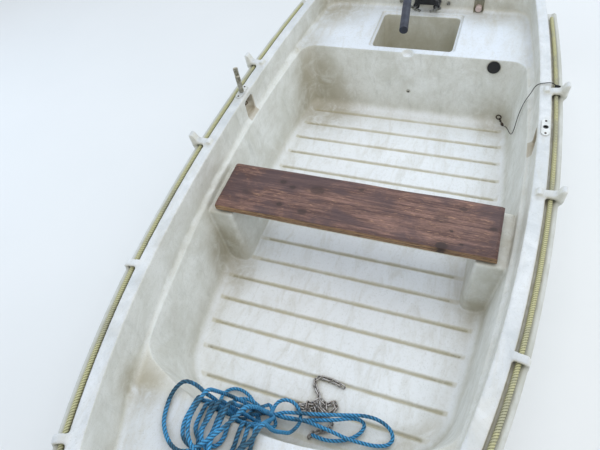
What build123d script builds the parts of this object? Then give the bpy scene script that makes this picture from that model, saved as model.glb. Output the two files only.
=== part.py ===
from build123d import *
import math
import os

os.makedirs("parts", exist_ok=True)

# Rowing dinghy, about 3 m long, moulded in one double-skinned piece, with a small outboard motor.
# Millimetres. +X is the bow, +Y is port, +Z is up. The origin is on the centre plane, amidships, at the
# waterline that the empty boat floats to.

# Plan of the hull: the outer edge of the flat gunwale band, drawn by tangent arcs
beam_x = -365
half_beam = 589
quarter_radius = 7000
stern_x = -1470
quarter_corner = 120
nose_corner = 150
# columns: the x where the arc ends, its radius
side_arcs = [(235, 5200), (735, 2900), (1500, 1900)]

# Sheer: the height of the gunwale band, level aft and rising to the bow on one large arc
sheer_z = 425
sheer_start_x = -965
sheer_radius = 20400

# Gunwale: flat band, a step down to the trough that holds the rope, then the outer lip
band_width = 42
lip_width = 40
lip_drop = 17
lip_depth = 50
lip_end_x = -1300
trough_width = 26
trough_drop = 22
edge_radius = 6

# Outer skin at its stations, half widths
# columns: x, keel height, chine half width, chine height, top half width, chine radius
hull_stations = [
    (-1470, -60, 470, -30, 512, 110),
    (-800, -86, 540, -52, 598, 120),
    (0, -95, 530, -50, 600, 120),
    (620, -85, 420, -25, 508, 100),
    (1040, -45, 250, 45, 352, 70),
    (1300, 50, 110, 130, 215, 40),
    (1500, 300, 25, 350, 70, 15),
]
hull_top_z = 560
stem_cut_x = 1330
stem_outset = 38
side_inset = 10

# Cockpit
floor_z = 25
seat_z = 317
bench_x = -1075
bench_rake = 55
bow_seat_x = 622
bow_seat_side_x = 495
bow_seat_rake = 58
well_half_width = 531
well_bulge_x = -365
well_end_half_width = 484
well_bow_corner = 110
floor_bow_corner = 225
well_stern_corner = 60
floor_radius = 42
wall_foot_radius = 20
well_side_rake = 32
tall = 900
runner_back_x = -1440
runner_rise = 150
# columns: y, width, bottom height, forward end
runner_rows = [(0, 46, -112, 900), (235, 40, -98, 640), (-235, 40, -98, 640)]

# Grooves pressed into the cockpit floor
groove_pitch = 100
groove_count = 16
groove_width = 11
groove_depth = 7
groove_first_x = -965
groove_margin = 30

# Thwart and the two moulded seats that carry it
thwart_x = -173
thwart_width = 211
thwart_length = 976
thwart_thickness = 30
batten_thickness = 12
batten_width = 175
support_x = -175
support_length = 268
support_reach = 405
support_depth = 140
support_middle_y = support_reach + support_depth / 2
support_corner = 30
support_taper = 4
support_z = 294

# Locker in the aft bench, with a rebate for its lid
locker_x = -1251
locker_length = 287
locker_width = 380
locker_rebate = 12
locker_rebate_depth = 10
locker_depth = 205
notch_radius = 18

# Motor notch in the top of the transom
notch_z = 385
notch_half_width = 190
notch_slope = 70

# Fittings moulded on the gunwale. side is 1 for port, -1 for starboard
# columns: x
cleat_xs = (-765, -265)
lug_xs = (295, 808)
cleat_length = 28
lug_length = 24
bridge_gap = 3

# Rowlocks: a plate let into a pad on the band, its tube, and the metal rowlock that swivels in it
rowlock_x = -566
rowlock_inset = 19
plate_length = 79
plate_width = 27
plate_thickness = 4
pad_rise = 3
pad_root = 8
socket_bore = 13
socket_tube = 19
socket_fit = 0.2
shank_clearance = 0.08
pocket_width = 62
pocket_top = 24
pocket_foot = 66
pocket_bottom = 102
pocket_back = 5
pocket_foot_back = 22
pocket_front = 66

# Grab rope in the trough, rope_out from the band's edge to its middle
rope_diameter = 14
rope_out = 16
rope_lift = 1
rope_stern_x = -1255
rope_step = 150

# Vent plug and drains
vent_y = 363
vent_z = 284
vent_diameter = 52
drain_y = 10
drain_z = 134
drain_diameter = 15
bung_y = 246
bung_recess_width = 40
bung_recess_height = 58
bung_recess_depth = 10

vent_length = 12
drain_length = 20
rope_bow_x = 1290
rope_fine_x = 700
bridge_under = -5
rowlock_turn = math.radians(33)
crotch_half = 29
horn_height = 92
horn_width = 19
horn_thickness = 9
shank_length = 66

# Bow eye: a U-bolt let into the stem
eye_rod = 10
eye_half = 16
eye_z = 360
eye_stand_off = 12
eye_depth = 30
eye_fit = 0.1

# Outboard motor, clamped on the transom
motor_y = 15
arm_spacing = 92
arm_width = 14
arm_gap = 3
tilt_x = -1496
tilt_z = 428
tilt_pin = 12
steer_x = -1548
tube_outer = 66
tube_inner = 50
tube_clearance = 0.08
tube_bottom = 205
tube_top = 470
collar_gap = 5
collar_radius = 34
plate_z = -120
gearcase_z = -212
gearcase_diameter = 62
propeller_x = -1668
propeller_radius = 82
propeller_gap = 4
pan_z = 512
pan_height = 62
cowl_height = 190
cowl_wall = 4
cowl_x = -1597
cowl_length = 300
cowl_width = 212
pad_width = 270
pad_height = 150
pad_thickness = 8
tiller_pivot_x = -1412
tiller_pivot_y = -60
tiller_pivot_z = 556
tiller_end_x = -931
tiller_end_y = 5
tiller_end_z = 520
grip_diameter = 34
grip_length = 260
screw_z = 354
screw_diameter = 12
skeg_z = -305
fold_pin = 10

# Lanyard: black cord from the aft port cleat, over the band and down the wall to its snap hook
lanyard_diameter = 3
lanyard_points = [
    (-779.1, 592, 424), (-797, 590, 429), (-808, 572, 432), (-802, 550, 432), (-797, 528, 429),
    (-799, 517, 408), (-812, 514, 377), (-832, 508, 340), (-849, 501, 300), (-857, 495, 256),
    (-850, 490, 214), (-828, 488, 180), (-826, 483, 146), (-856, 476, 122), (-898, 468, 103),
    (-938, 460, 82), (-966, 450, 62), (-977, 446, 54),
]
hook_tip = (-1011, 424, 46)
hook_length = 44
hook_width = 17
hook_rod = 4

# Mooring rope, stowed in loose loops over the edge of the bow seat and on the floor, and its chain
rope_clearance = 1
seat_loops_forward = 745
seat_loops_thickness = 44
seat_loops_overhang = 46
hanging_loops_gap = 6
hanging_loops_thickness = 40
floor_loops_thickness = 50
loops_corner = 24
loops_port_y = -18
loops_starboard_y = -285
# Outline of the loops on the floor
floor_loops_outline = [(415, -285), (415, 295), (486, 295), (516, 150), (522, 0), (512, -150), (486, -285)]
# Outline of the chain on the floor
chain_outline = [(332, -6), (332, 60), (345, 102), (413, 102), (413, -6)]
chain_thickness = 16


def half_breadth(x):
    """Half breadth of the band's outer edge at x, from the tangent arcs."""
    if x <= beam_x:
        return half_beam - quarter_radius + math.sqrt(quarter_radius**2 - (x - beam_x) ** 2)
    start_x, start_y, turn = beam_x, half_beam, 0.0
    for end_x, radius in side_arcs:
        centre_x = start_x - radius * math.sin(turn)
        centre_y = start_y - radius * math.cos(turn)
        if x <= end_x:
            return centre_y + math.sqrt(radius**2 - (x - centre_x) ** 2)
        turn = math.asin((end_x - centre_x) / radius)
        start_x, start_y = end_x, centre_y + radius * math.cos(turn)
    return 0.0


def nose_x():
    """Where the two sides would meet on the centre plane."""
    low, high = side_arcs[-2][0], side_arcs[-1][0]
    for _ in range(60):
        middle = (low + high) / 2
        if half_breadth(middle) > 0:
            low = middle
        else:
            high = middle
    return low


def sheer(x):
    """Height of the gunwale band's top at x."""
    if x <= sheer_start_x:
        return sheer_z
    return sheer_z + sheer_radius - math.sqrt(sheer_radius**2 - (x - sheer_start_x) ** 2)


bow_point_x = nose_x()


def well_half(x):
    """Half width of the cockpit well at seat height, on one arc through its widest place."""
    drop = well_half_width - well_end_half_width
    radius = ((bench_x - well_bulge_x) ** 2 + drop**2) / (2 * drop)
    return well_half_width - radius + math.sqrt(radius**2 - (x - well_bulge_x) ** 2)


def plan(outset, level):
    """Plan outline of the boat, moved outwards by outset, as a face at height level."""
    corners = [stern_x, beam_x] + [end_x for end_x, radius in side_arcs[:-1]] + [bow_point_x]
    with BuildSketch(Plane.XY.offset(level)) as outline:
        with BuildLine():
            Line((stern_x, 0), (stern_x, half_breadth(stern_x)))
            for start_x, end_x in zip(corners, corners[1:]):
                middle_x = (start_x + end_x) / 2
                ThreePointArc(
                    (start_x, half_breadth(start_x)),
                    (middle_x, half_breadth(middle_x)),
                    (end_x, max(half_breadth(end_x), 0) if end_x < bow_point_x else 0),
                )
            mirror(about=Plane.XZ)
        make_face()
        ends = outline.vertices().sort_by(Axis.X)
        fillet(ends[-1], nose_corner)
        fillet(outline.vertices().group_by(Axis.X)[0], quarter_corner)
        if outset:
            offset(amount=outset)
    return outline.sketch


full_width = 1600
overshoot = 200


def sheer_block(drop, level):
    """Block over the whole plan, between the sheer lowered by drop and a level plane below or above it."""
    back, front = stern_x - overshoot, bow_point_x + overshoot
    middle = (sheer_start_x + front) / 2
    with BuildPart() as block:
        with BuildSketch(Plane.XZ.offset(-full_width / 2)):
            with BuildLine():
                Polyline((sheer_start_x, sheer_z - drop), (back, sheer_z - drop), (back, level),
                         (front, level), (front, sheer(front) - drop))
                ThreePointArc((front, sheer(front) - drop), (middle, sheer(middle) - drop),
                              (sheer_start_x, sheer_z - drop))
            make_face()
        extrude(amount=full_width)
    return block.part


def prism(outset, bottom, top):
    """The plan outline, moved outwards by outset, as a straight-sided solid."""
    with BuildPart() as solid:
        add(plan(outset, bottom))
        extrude(amount=top - bottom)
    return solid.part


def top_outline(solid):
    """Edges round the top of a solid, without those that only part its top faces."""
    tops = solid.faces().filter_by(lambda face: face.normal_at().Z > 0.5)
    inner = [edge for edge in tops.edges() if sum(edge in face.edges() for face in tops) > 1]
    return [edge for edge in tops.edges() if edge not in inner]


def bench_face(z):
    """How far forward the raked front of the aft bench is at height z."""
    return bench_x + bench_rake * (seat_z + 1 - z) / (seat_z + 1 - floor_z)


def well_outline(level, back, front, front_side, side_rake, corner, inset=0):
    """Outline of the cockpit well at a height: bowed sides, a straight aft end and a rounded fore end."""
    with BuildSketch(Plane.XY.offset(level)) as rim:
        with BuildLine():
            port = ThreePointArc((back, well_half(back) - side_rake),
                                 (well_bulge_x, well_half(well_bulge_x) - side_rake),
                                 (front_side, well_half(front_side) - side_rake))
            mirror(port, about=Plane.XZ)
            stern_end = port @ 0
            bow_end = port @ 1
            Line(stern_end, (stern_end.X, -stern_end.Y))
            ThreePointArc(bow_end, (front, 0), (bow_end.X, -bow_end.Y))
        make_face()
        fillet(rim.vertices().group_by(Axis.X)[0], well_stern_corner)
        fillet(rim.vertices().group_by(Axis.X)[-1], corner)
        if inset:
            offset(amount=-inset)
    return rim.sketch


def floor_outline(inset=0):
    """Outline of the cockpit floor."""
    return well_outline(floor_z, bench_face(floor_z), bow_seat_x - bow_seat_rake,
                        bow_seat_side_x - bow_seat_rake / 2, well_side_rake, floor_bow_corner, inset)


def on_gunwale(x, side, inset, height):
    """Frame on the gunwale: local X runs forward along the edge, local Z is up. side is 1 for port."""
    step = 1.0
    slope = (half_breadth(x + step) - half_breadth(x - step)) / (2 * step)
    lean = math.atan(slope)
    origin = (x + inset * math.sin(lean), side * (half_breadth(x) - inset * math.cos(lean)), height)
    return Plane(origin=origin, x_dir=(math.cos(lean), side * math.sin(lean), 0), z_dir=(0, 0, 1))


def corner_radii(points):
    """Radius of the arc at each corner of a cord's route."""
    radii = []
    for before, here, after in zip(points, points[1:], points[2:]):
        turn = math.radians((here - before).get_angle(after - here))
        radii.append(0.45 * min((here - before).length, (after - here).length) / math.tan(turn / 2))
    return radii


def bow_edge(y):
    """x of the bow seat's aft edge at y, on the arc that ends at the well's sides."""
    half = well_half(bow_seat_side_x)
    drop = bow_seat_x - bow_seat_side_x
    radius = (half**2 + drop**2) / (2 * drop)
    return bow_seat_x - radius + math.sqrt(radius**2 - y**2)


# The foremost point of the stem, which stands a little outside the band's plan
stem_x = plan(stem_outset, 0).bounding_box().max.X

# What rounds the stem in plan
with BuildPart() as stem_cut:
    with BuildSketch(Plane.XY.offset(-overshoot)):
        with Locations((stem_cut_x + overshoot, 0)):
            Rectangle(2 * overshoot, full_width)
    extrude(amount=tall)
    add(prism(stem_outset, -2 * overshoot, tall), mode=Mode.SUBTRACT)

# Outer skin, lofted through its stations and rounded in plan at the stem
with BuildPart() as outer_skin:
    for x, keel_z, chine_y, chine_z, top_y, chine_r in hull_stations:
        with BuildSketch(Plane.YZ.offset(x)) as station:
            with BuildLine():
                Polyline((0, keel_z), (chine_y, chine_z), (top_y, hull_top_z),
                         (-top_y, hull_top_z), (-chine_y, chine_z), (0, keel_z))
            make_face()
            fillet(station.vertices().group_by(Axis.Y)[1], chine_r)
    loft()
    add(sheer_block(lip_drop + side_inset, -overshoot), mode=Mode.INTERSECT)
    add(stem_cut.part, mode=Mode.SUBTRACT)

# Keel and the two side runners
with BuildPart() as runners:
    for y, width, bottom, front in runner_rows:
        with BuildSketch(Plane.XZ.offset(-y - width / 2)):
            with BuildLine():
                Polyline((runner_back_x, bottom), (runner_back_x, floor_z - 40), (front, floor_z - 40),
                         (front - runner_rise, bottom), (runner_back_x, bottom))
            make_face()
        extrude(amount=width)
    chamfer(runners.faces().filter_by(Plane.XY).group_by(Axis.Z)[0].edges().filter_by(Axis.X), 5)

# Gunwale: the lip outside, the band standing above it, and the trough between them
with BuildPart() as lip:
    add(prism(lip_width, 0, tall))
    add(sheer_block(lip_drop, -overshoot), mode=Mode.INTERSECT)
    add(sheer_block(lip_drop + lip_depth, -overshoot), mode=Mode.SUBTRACT)
    fillet(top_outline(lip), edge_radius)
    with BuildSketch(Plane.XY):
        with Locations((lip_end_x - overshoot, 0)):
            Rectangle(2 * overshoot, full_width)
    extrude(amount=tall, mode=Mode.SUBTRACT)

with BuildPart() as band:
    add(prism(0, 0, tall))
    add(sheer_block(0, -overshoot), mode=Mode.INTERSECT)
    add(sheer_block(lip_drop + lip_depth, -overshoot), mode=Mode.SUBTRACT)
    fillet(top_outline(band), edge_radius)

with BuildPart() as trough:
    add(prism(trough_width, 0, tall))
    add(sheer_block(trough_drop, tall), mode=Mode.INTERSECT)
    add(prism(0, 0, tall), mode=Mode.SUBTRACT)

# Cockpit above the seats, and the well below them
with BuildPart() as upper_space:
    add(plan(-band_width, seat_z))
    extrude(amount=tall)
    fillet(upper_space.faces().sort_by(Axis.Z)[0].edges(), wall_foot_radius)

with BuildPart() as well:
    add(floor_outline())
    add(well_outline(seat_z + 1, bench_x, bow_seat_x, bow_seat_side_x, 0, well_bow_corner))
    loft(ruled=True)
    fillet(well.faces().sort_by(Axis.Z)[0].edges(), floor_radius)
print("well", well.part.volume / 1e9, well.part.is_valid)

# Moulded seats for the thwart, one each side, rising from the floor
with BuildPart() as supports:
    with BuildSketch(Plane.XY.offset(floor_z - 20)):
        with Locations((support_x, support_middle_y), (support_x, -support_middle_y)):
            RectangleRounded(support_length, support_depth, support_corner)
    extrude(amount=support_z - floor_z + 20, taper=support_taper)
    fillet(supports.faces().sort_by(Axis.Z)[-2:].edges(), 9)

# Horned cleats and lugs, moulded across the trough so that the rope runs under them
with BuildPart() as bridges:
    for side in (1, -1):
        for x in cleat_xs:
            seat = on_gunwale(x, side, 0, sheer(x))
            out = side
            section = Plane(origin=seat.from_local_coords((-cleat_length / 2, 0, 0)),
                            x_dir=seat.y_dir * out, z_dir=seat.x_dir * out)
            run = cleat_length if out > 0 else -cleat_length
            with BuildSketch(section):
                with BuildLine():
                    Polyline((-30, -12), (-30, 9), (-24, 16), (-14, 15), (-6, 6), (18, 5), (27, 14), (38, 36),
                             (46, 40), (54, 34), (52, 10), (44, -lip_drop - 12),
                             (trough_width + bridge_gap, -lip_drop - 12),
                             (trough_width + bridge_gap, bridge_under), (-12, bridge_under), (-12, -12),
                             (-30, -12))
                make_face()
            extrude(amount=run)
        for x in lug_xs:
            seat = on_gunwale(x, side, 0, sheer(x))
            section = Plane(origin=seat.from_local_coords((-lug_length / 2, 0, 0)),
                            x_dir=seat.y_dir * side, z_dir=seat.x_dir * side)
            run = lug_length if side > 0 else -lug_length
            with BuildSketch(section):
                with BuildLine():
                    Polyline((-14, -2), (-12, bridge_under), (trough_width + bridge_gap, bridge_under),
                             (trough_width + bridge_gap, -lip_drop - 12), (lip_width + 2, -lip_drop - 12),
                             (lip_width, -4), (lip_width - 8, 4), (20, 7), (-4, 5), (-14, -2))
                make_face()
            extrude(amount=run)
        pad = on_gunwale(rowlock_x, side, rowlock_inset, sheer(rowlock_x))
        with BuildSketch(pad.offset(-pad_root)):
            SlotOverall(plate_length + 14, plate_width + 7)
        extrude(amount=pad_root + pad_rise)

# Floor grooves: each ends the same way short of the foot of the walls, or of the thwart seats
# columns: x, half length
groove_rows = []
inset_floor = floor_outline(groove_margin)
for number in range(groove_count):
    x = groove_first_x + number * groove_pitch
    strip = inset_floor & Pos(x, 0, floor_z) * Rectangle(1, full_width)
    if strip:
        half = strip.bounding_box().max.Y
        if abs(x - support_x) < support_length / 2 + groove_width:
            half = min(half, support_reach - groove_margin)
        groove_rows.append((x, half))
print("grooves", [(x, round(half)) for x, half in groove_rows])

# What is cut out of the moulding
with BuildPart() as openings:
    with BuildSketch(Plane.XY.offset(floor_z - groove_depth)):
        for x, half in groove_rows:
            with Locations((x, 0)):
                SlotOverall(2 * half, groove_width, rotation=90)
    extrude(amount=groove_depth + 1)
    with BuildSketch(Plane.XY.offset(seat_z - locker_depth)):
        with Locations((locker_x, 0)):
            RectangleRounded(locker_length - 2 * locker_rebate, locker_width - 2 * locker_rebate, 22)
    extrude(amount=locker_depth + 1)
    with BuildSketch(Plane.XY.offset(seat_z - locker_rebate_depth)):
        with Locations((locker_x, 0)):
            RectangleRounded(locker_length, locker_width, 14)
    extrude(amount=locker_rebate_depth + 1)
    with BuildSketch(Plane.XY.offset(seat_z - notch_radius)):
        with Locations((bench_x, -5)):
            Circle(notch_radius)
    extrude(amount=notch_radius + 1, taper=-30)
    with BuildSketch(Plane.YZ.offset(stern_x - 100)):
        with BuildLine():
            Polyline((-notch_half_width, notch_z), (notch_half_width, notch_z),
                     (notch_half_width + notch_slope, sheer_z + 5), (-notch_half_width - notch_slope, sheer_z + 5),
                     (-notch_half_width, notch_z))
        make_face()
    extrude(amount=100 + band_width + 30)
    for side in (1, -1):
        hole = on_gunwale(rowlock_x, side, rowlock_inset, sheer(rowlock_x))
        with BuildSketch(hole.offset(pad_rise + 1)):
            Circle(socket_tube / 2 + socket_fit)
        extrude(amount=-pocket_top - pad_rise - 2)
        # columns: inset of its outboard wall, lower and upper depth below the band
        for back, bottom, top in ((pocket_back, pocket_foot, pocket_top),
                                  (pocket_foot_back, pocket_bottom, pocket_foot)):
            pocket = on_gunwale(rowlock_x, side, (back + pocket_front) / 2, sheer(rowlock_x) - bottom)
            with BuildSketch(pocket):
                RectangleRounded(pocket_width, pocket_front - back, 14)
            extrude(amount=bottom - top)
    with BuildSketch(Plane.YZ.offset(bench_face(vent_z) - vent_length)):
        with Locations((vent_y, vent_z)):
            Circle(vent_diameter / 2 - 3)
    extrude(amount=vent_length + 20)
    with BuildSketch(Plane.YZ.offset(bench_face(drain_z) - drain_length)):
        with Locations((drain_y, drain_z)):
            Circle(drain_diameter / 2)
    extrude(amount=drain_length + 20)
    with BuildSketch(Plane.YZ.offset(stern_x + band_width - bung_recess_depth)):
        with Locations((bung_y, seat_z + bung_recess_height / 2)):
            RectangleRounded(bung_recess_width, bung_recess_height, 6)
    extrude(amount=bung_recess_depth + 30)
    with BuildSketch(Plane.YZ.offset(stem_x - eye_depth - 1)):
        with Locations((0, eye_z - eye_half), (0, eye_z + eye_half)):
            Circle(eye_rod / 2 + eye_fit)
    extrude(amount=eye_depth + 30)

# Everything moulded in one piece
with BuildPart() as hull:
    add(outer_skin.part)
    add(runners.part)
    add(lip.part)
    add(band.part)
    add(trough.part, mode=Mode.SUBTRACT)
    add(upper_space.part, mode=Mode.SUBTRACT)
    add(well.part, mode=Mode.SUBTRACT)
    add(supports.part)
    add(bridges.part)
    add(openings.part, mode=Mode.SUBTRACT)
print("hull", hull.part.volume / 1e9, hull.part.is_valid, len(hull.part.solids()))
hull.part.label = "hull_moulding"
export_step(hull.part, "parts/hull_moulding.step")

# Thwart: a plank with a thinner batten under it, lying on the moulded seats
with BuildPart() as thwart:
    with Locations((thwart_x, 0, support_z + batten_thickness + thwart_thickness / 2)):
        Box(thwart_width, thwart_length, thwart_thickness)
    fillet(thwart.edges().filter_by(Axis.Z), 5)
    chamfer(thwart.faces().sort_by(Axis.Z)[-1].edges(), 2)
thwart.part.label = "thwart_plank"
export_step(thwart.part, "parts/thwart_plank.step")

with BuildPart() as batten:
    with Locations((thwart_x, 0, support_z + batten_thickness / 2)):
        Box(batten_width, thwart_length - 30, batten_thickness)
batten.part.label = "thwart_batten"
export_step(batten.part, "parts/thwart_batten.step")

# Grab rope, lying in the trough from each quarter to the bow
for side, word in ((1, "port"), (-1, "starboard")):
    points = []
    x = rope_stern_x
    while x < rope_bow_x:
        place = on_gunwale(x, side, -rope_out, sheer(x) - trough_drop + rope_diameter / 2 + rope_lift)
        points.append(place.origin)
        x += rope_step if x < rope_fine_x else rope_step / 2
    radii = corner_radii(points)
    with BuildPart() as rope:
        with BuildLine() as route:
            FilletPolyline(*points, radius=radii)
        with BuildSketch(Plane(origin=route.line @ 0, z_dir=route.line % 0)):
            Circle(rope_diameter / 2)
        sweep()
    rope.part.label = "grab_rope_" + word
    export_step(rope.part, "parts/" + rope.part.label + ".step")
    print(word, "rope", rope.part.is_valid, len(rope.part.solids()), "radii", [round(r) for r in radii])

# Rowlock sockets
for side, word in ((1, "port"), (-1, "starboard")):
    seat = on_gunwale(rowlock_x, side, rowlock_inset, sheer(rowlock_x) + pad_rise)
    with BuildPart() as socket:
        with BuildSketch(seat):
            SlotOverall(plate_length, plate_width)
        extrude(amount=plate_thickness)
        with BuildSketch(seat):
            Circle(socket_tube / 2)
        extrude(amount=-pocket_top - pad_rise)
        with BuildSketch(seat.offset(plate_thickness)):
            Circle(socket_bore / 2)
        extrude(amount=-pocket_top - pad_rise - plate_thickness - 1, mode=Mode.SUBTRACT)
    socket.part.label = "rowlock_socket_" + word
    export_step(socket.part, "parts/" + socket.part.label + ".step")

# Rowlock in the starboard socket, turned as it was left, with the split ring that keeps it
seat = on_gunwale(rowlock_x, -1, rowlock_inset, sheer(rowlock_x) + pad_rise + plate_thickness)
crotch = Plane(origin=seat.origin, x_dir=(math.cos(rowlock_turn), math.sin(rowlock_turn), 0), z_dir=(0, 0, 1))
upright = Plane(origin=seat.origin, x_dir=crotch.x_dir, z_dir=crotch.y_dir * -1)
with BuildPart() as rowlock:
    with BuildSketch(seat.offset(0.3)):
        Circle(10)
    extrude(amount=5)
    with BuildSketch(seat.offset(2)):
        Circle(socket_bore / 2 - shank_clearance)
    extrude(amount=-shank_length - 2)
    with BuildLine(upright) as horns:
        FilletPolyline((-crotch_half, horn_height), (-crotch_half + 3, 30), (-14, 9.5), (14, 9.5),
                       (crotch_half - 3, 30), (crotch_half, horn_height), radius=13)
    with BuildSketch(Plane(origin=horns.line @ 0, x_dir=crotch.y_dir, z_dir=horns.line % 0)):
        Ellipse(horn_width / 2, horn_thickness / 2)
    sweep()
rowlock.part.label = "rowlock"
export_step(rowlock.part, "parts/rowlock.step")
print("rowlock", rowlock.part.is_valid, len(rowlock.part.solids()), rowlock.part.bounding_box().min)

with BuildPart() as keeper:
    with Locations(seat.origin - Vector(0, 0, shank_length - 6)):
        Torus(11, 1.5)
keeper.part.label = "rowlock_split_ring"
export_step(keeper.part, "parts/rowlock_split_ring.step")

# Vent plug, drain screw and bung
bench_lean = math.atan(bench_rake / (seat_z + 1 - floor_z))
bench_normal = (math.cos(bench_lean), 0, math.sin(bench_lean))
with BuildPart() as vent:
    with BuildSketch(Plane.YZ.offset(bench_face(vent_z) - vent_length)):
        with Locations((vent_y, vent_z)):
            Circle(vent_diameter / 2 - 3)
    extrude(amount=vent_length)
    with BuildSketch(Plane(origin=(bench_face(vent_z), vent_y, vent_z), x_dir=(0, 1, 0), z_dir=bench_normal)):
        Circle(vent_diameter / 2)
    extrude(amount=4)
vent.part.label = "vent_plug"
export_step(vent.part, "parts/vent_plug.step")
print("vent", vent.part.is_valid, len(vent.part.solids()))

with BuildPart() as drain:
    with BuildSketch(Plane.YZ.offset(bench_face(drain_z) - drain_length)):
        with Locations((drain_y, drain_z)):
            Circle(drain_diameter / 2)
    extrude(amount=drain_length)
drain.part.label = "drain_screw"
export_step(drain.part, "parts/drain_screw.step")

with BuildPart() as bung:
    with BuildSketch(Plane.YZ.offset(stern_x + band_width - bung_recess_depth)):
        with Locations((bung_y, seat_z + 16)):
            Circle(14)
    extrude(amount=bung_recess_depth + 12)
    fillet(bung.faces().sort_by(Axis.X)[-1].edges(), 4)
bung.part.label = "transom_bung"
export_step(bung.part, "parts/transom_bung.step")

# Motor pad on the outside of the transom, with two bolts through it
with BuildPart() as motor_pad:
    with BuildSketch(Plane.YZ.offset(stern_x - pad_thickness)):
        with Locations((0, notch_z - pad_height / 2)):
            RectangleRounded(pad_width, pad_height, 12)
    extrude(amount=pad_thickness)
motor_pad.part.label = "motor_pad"
export_step(motor_pad.part, "parts/motor_pad.step")

with BuildPart() as pad_bolts:
    for side in (1, -1):
        with BuildSketch(Plane.YZ.offset(stern_x + band_width)):
            with Locations((side * 110, notch_z - 34)):
                Circle(8)
        extrude(amount=6)
        with BuildSketch(Plane.YZ.offset(stern_x - pad_thickness)):
            with Locations((side * 110, notch_z - 34)):
                Circle(8)
        extrude(amount=-6)
pad_bolts.part.label = "motor_pad_bolts"
export_step(pad_bolts.part, "parts/motor_pad_bolts.step")

# Clamp bracket: two hooked arms over the transom, joined across the back
inner_face = stern_x + band_width
outer_face = stern_x - pad_thickness
with BuildPart() as clamp_bracket:
    for side in (1, -1):
        with BuildSketch(Plane.XZ.offset(-motor_y - side * arm_spacing / 2 - arm_width / 2)):
            with BuildLine():
                Polyline((inner_face + 20, screw_z - 18), (inner_face + 44, screw_z - 18),
                         (inner_face + 44, notch_z - 2), (inner_face + 20, notch_z + 24),
                         (tilt_x + 30, tilt_z + 18), (tilt_x - 10, tilt_z + 18), (tilt_x - 18, tilt_z - 4),
                         (outer_face - 22, 262), (outer_face, 250), (outer_face, notch_z + arm_gap),
                         (inner_face + 20, notch_z + arm_gap), (inner_face + 20, screw_z - 18))
            make_face()
            with Locations((tilt_x, tilt_z)):
                Circle(tilt_pin / 2, mode=Mode.SUBTRACT)
        extrude(amount=arm_width)
    with Locations((inner_face + 32, motor_y, notch_z - 12)):
        Box(16, arm_spacing, 26)
    with BuildSketch(Plane.YZ.offset(inner_face + 20)):
        with Locations((motor_y - arm_spacing / 2, screw_z), (motor_y + arm_spacing / 2, screw_z)):
            Circle(15)
    extrude(amount=24)
    with BuildSketch(Plane.YZ.offset(inner_face + 18)):
        with Locations((motor_y - arm_spacing / 2, screw_z), (motor_y + arm_spacing / 2, screw_z)):
            Circle(screw_diameter / 2 + tube_clearance)
    extrude(amount=28, mode=Mode.SUBTRACT)
clamp_bracket.part.label = "clamp_bracket"
export_step(clamp_bracket.part, "parts/clamp_bracket.step")
print("clamp", clamp_bracket.part.is_valid, len(clamp_bracket.part.solids()))

# Tilt pin
with BuildPart() as tilt_bolt:
    with BuildSketch(Plane.XZ.offset(-motor_y - arm_spacing / 2 - arm_width / 2 - 8)):
        with Locations((tilt_x, tilt_z)):
            Circle(tilt_pin / 2 - tube_clearance)
    extrude(amount=arm_spacing + arm_width + 16)
tilt_bolt.part.label = "tilt_pin"
export_step(tilt_bolt.part, "parts/tilt_pin.step")

# Swivel bracket: a tube for the leg, hung between the arms
with BuildPart() as swivel:
    with BuildSketch(Plane.XY.offset(tube_bottom)):
        with Locations((steer_x, motor_y)):
            Circle(tube_outer / 2)
    extrude(amount=tube_top - tube_bottom)
    with BuildSketch(Plane.XZ.offset(-motor_y - 33)):
        with BuildLine():
            Polyline((steer_x, tube_bottom + 14), (outer_face - 8, tube_bottom + 60), (outer_face - 8, tilt_z - 60),
                     (tilt_x + 16, tilt_z - 16), (tilt_x + 16, tilt_z + 12), (steer_x, tilt_z + 4),
                     (steer_x, tube_bottom + 14))
        make_face()
    extrude(amount=66)
    with BuildSketch(Plane.XY.offset(tube_bottom - 1)):
        with Locations((steer_x, motor_y)):
            Circle(tube_inner / 2)
    extrude(amount=tube_top - tube_bottom + 2, mode=Mode.SUBTRACT)
    with BuildSketch(Plane.XZ.offset(-motor_y - 40)):
        with Locations((tilt_x, tilt_z)):
            Circle(tilt_pin / 2)
    extrude(amount=80, mode=Mode.SUBTRACT)
swivel.part.label = "swivel_bracket"
export_step(swivel.part, "parts/swivel_bracket.step")
print("swivel", swivel.part.is_valid, len(swivel.part.solids()))

# Clamp screws with their handles and pads
with BuildPart() as clamp_screws:
    for side in (1, -1):
        y = motor_y + side * arm_spacing / 2
        with BuildSketch(Plane.YZ.offset(inner_face)):
            with Locations((y, screw_z)):
                Circle(17)
        extrude(amount=5)
        with BuildSketch(Plane.YZ.offset(inner_face)):
            with Locations((y, screw_z)):
                Circle(screw_diameter / 2)
        extrude(amount=74)
        with Locations((inner_face + 68, y, screw_z)):
            Box(8, 54, 9, rotation=(side * 24, 0, 0))
clamp_screws.part.label = "clamp_screws"
export_step(clamp_screws.part, "parts/clamp_screws.step")

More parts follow.
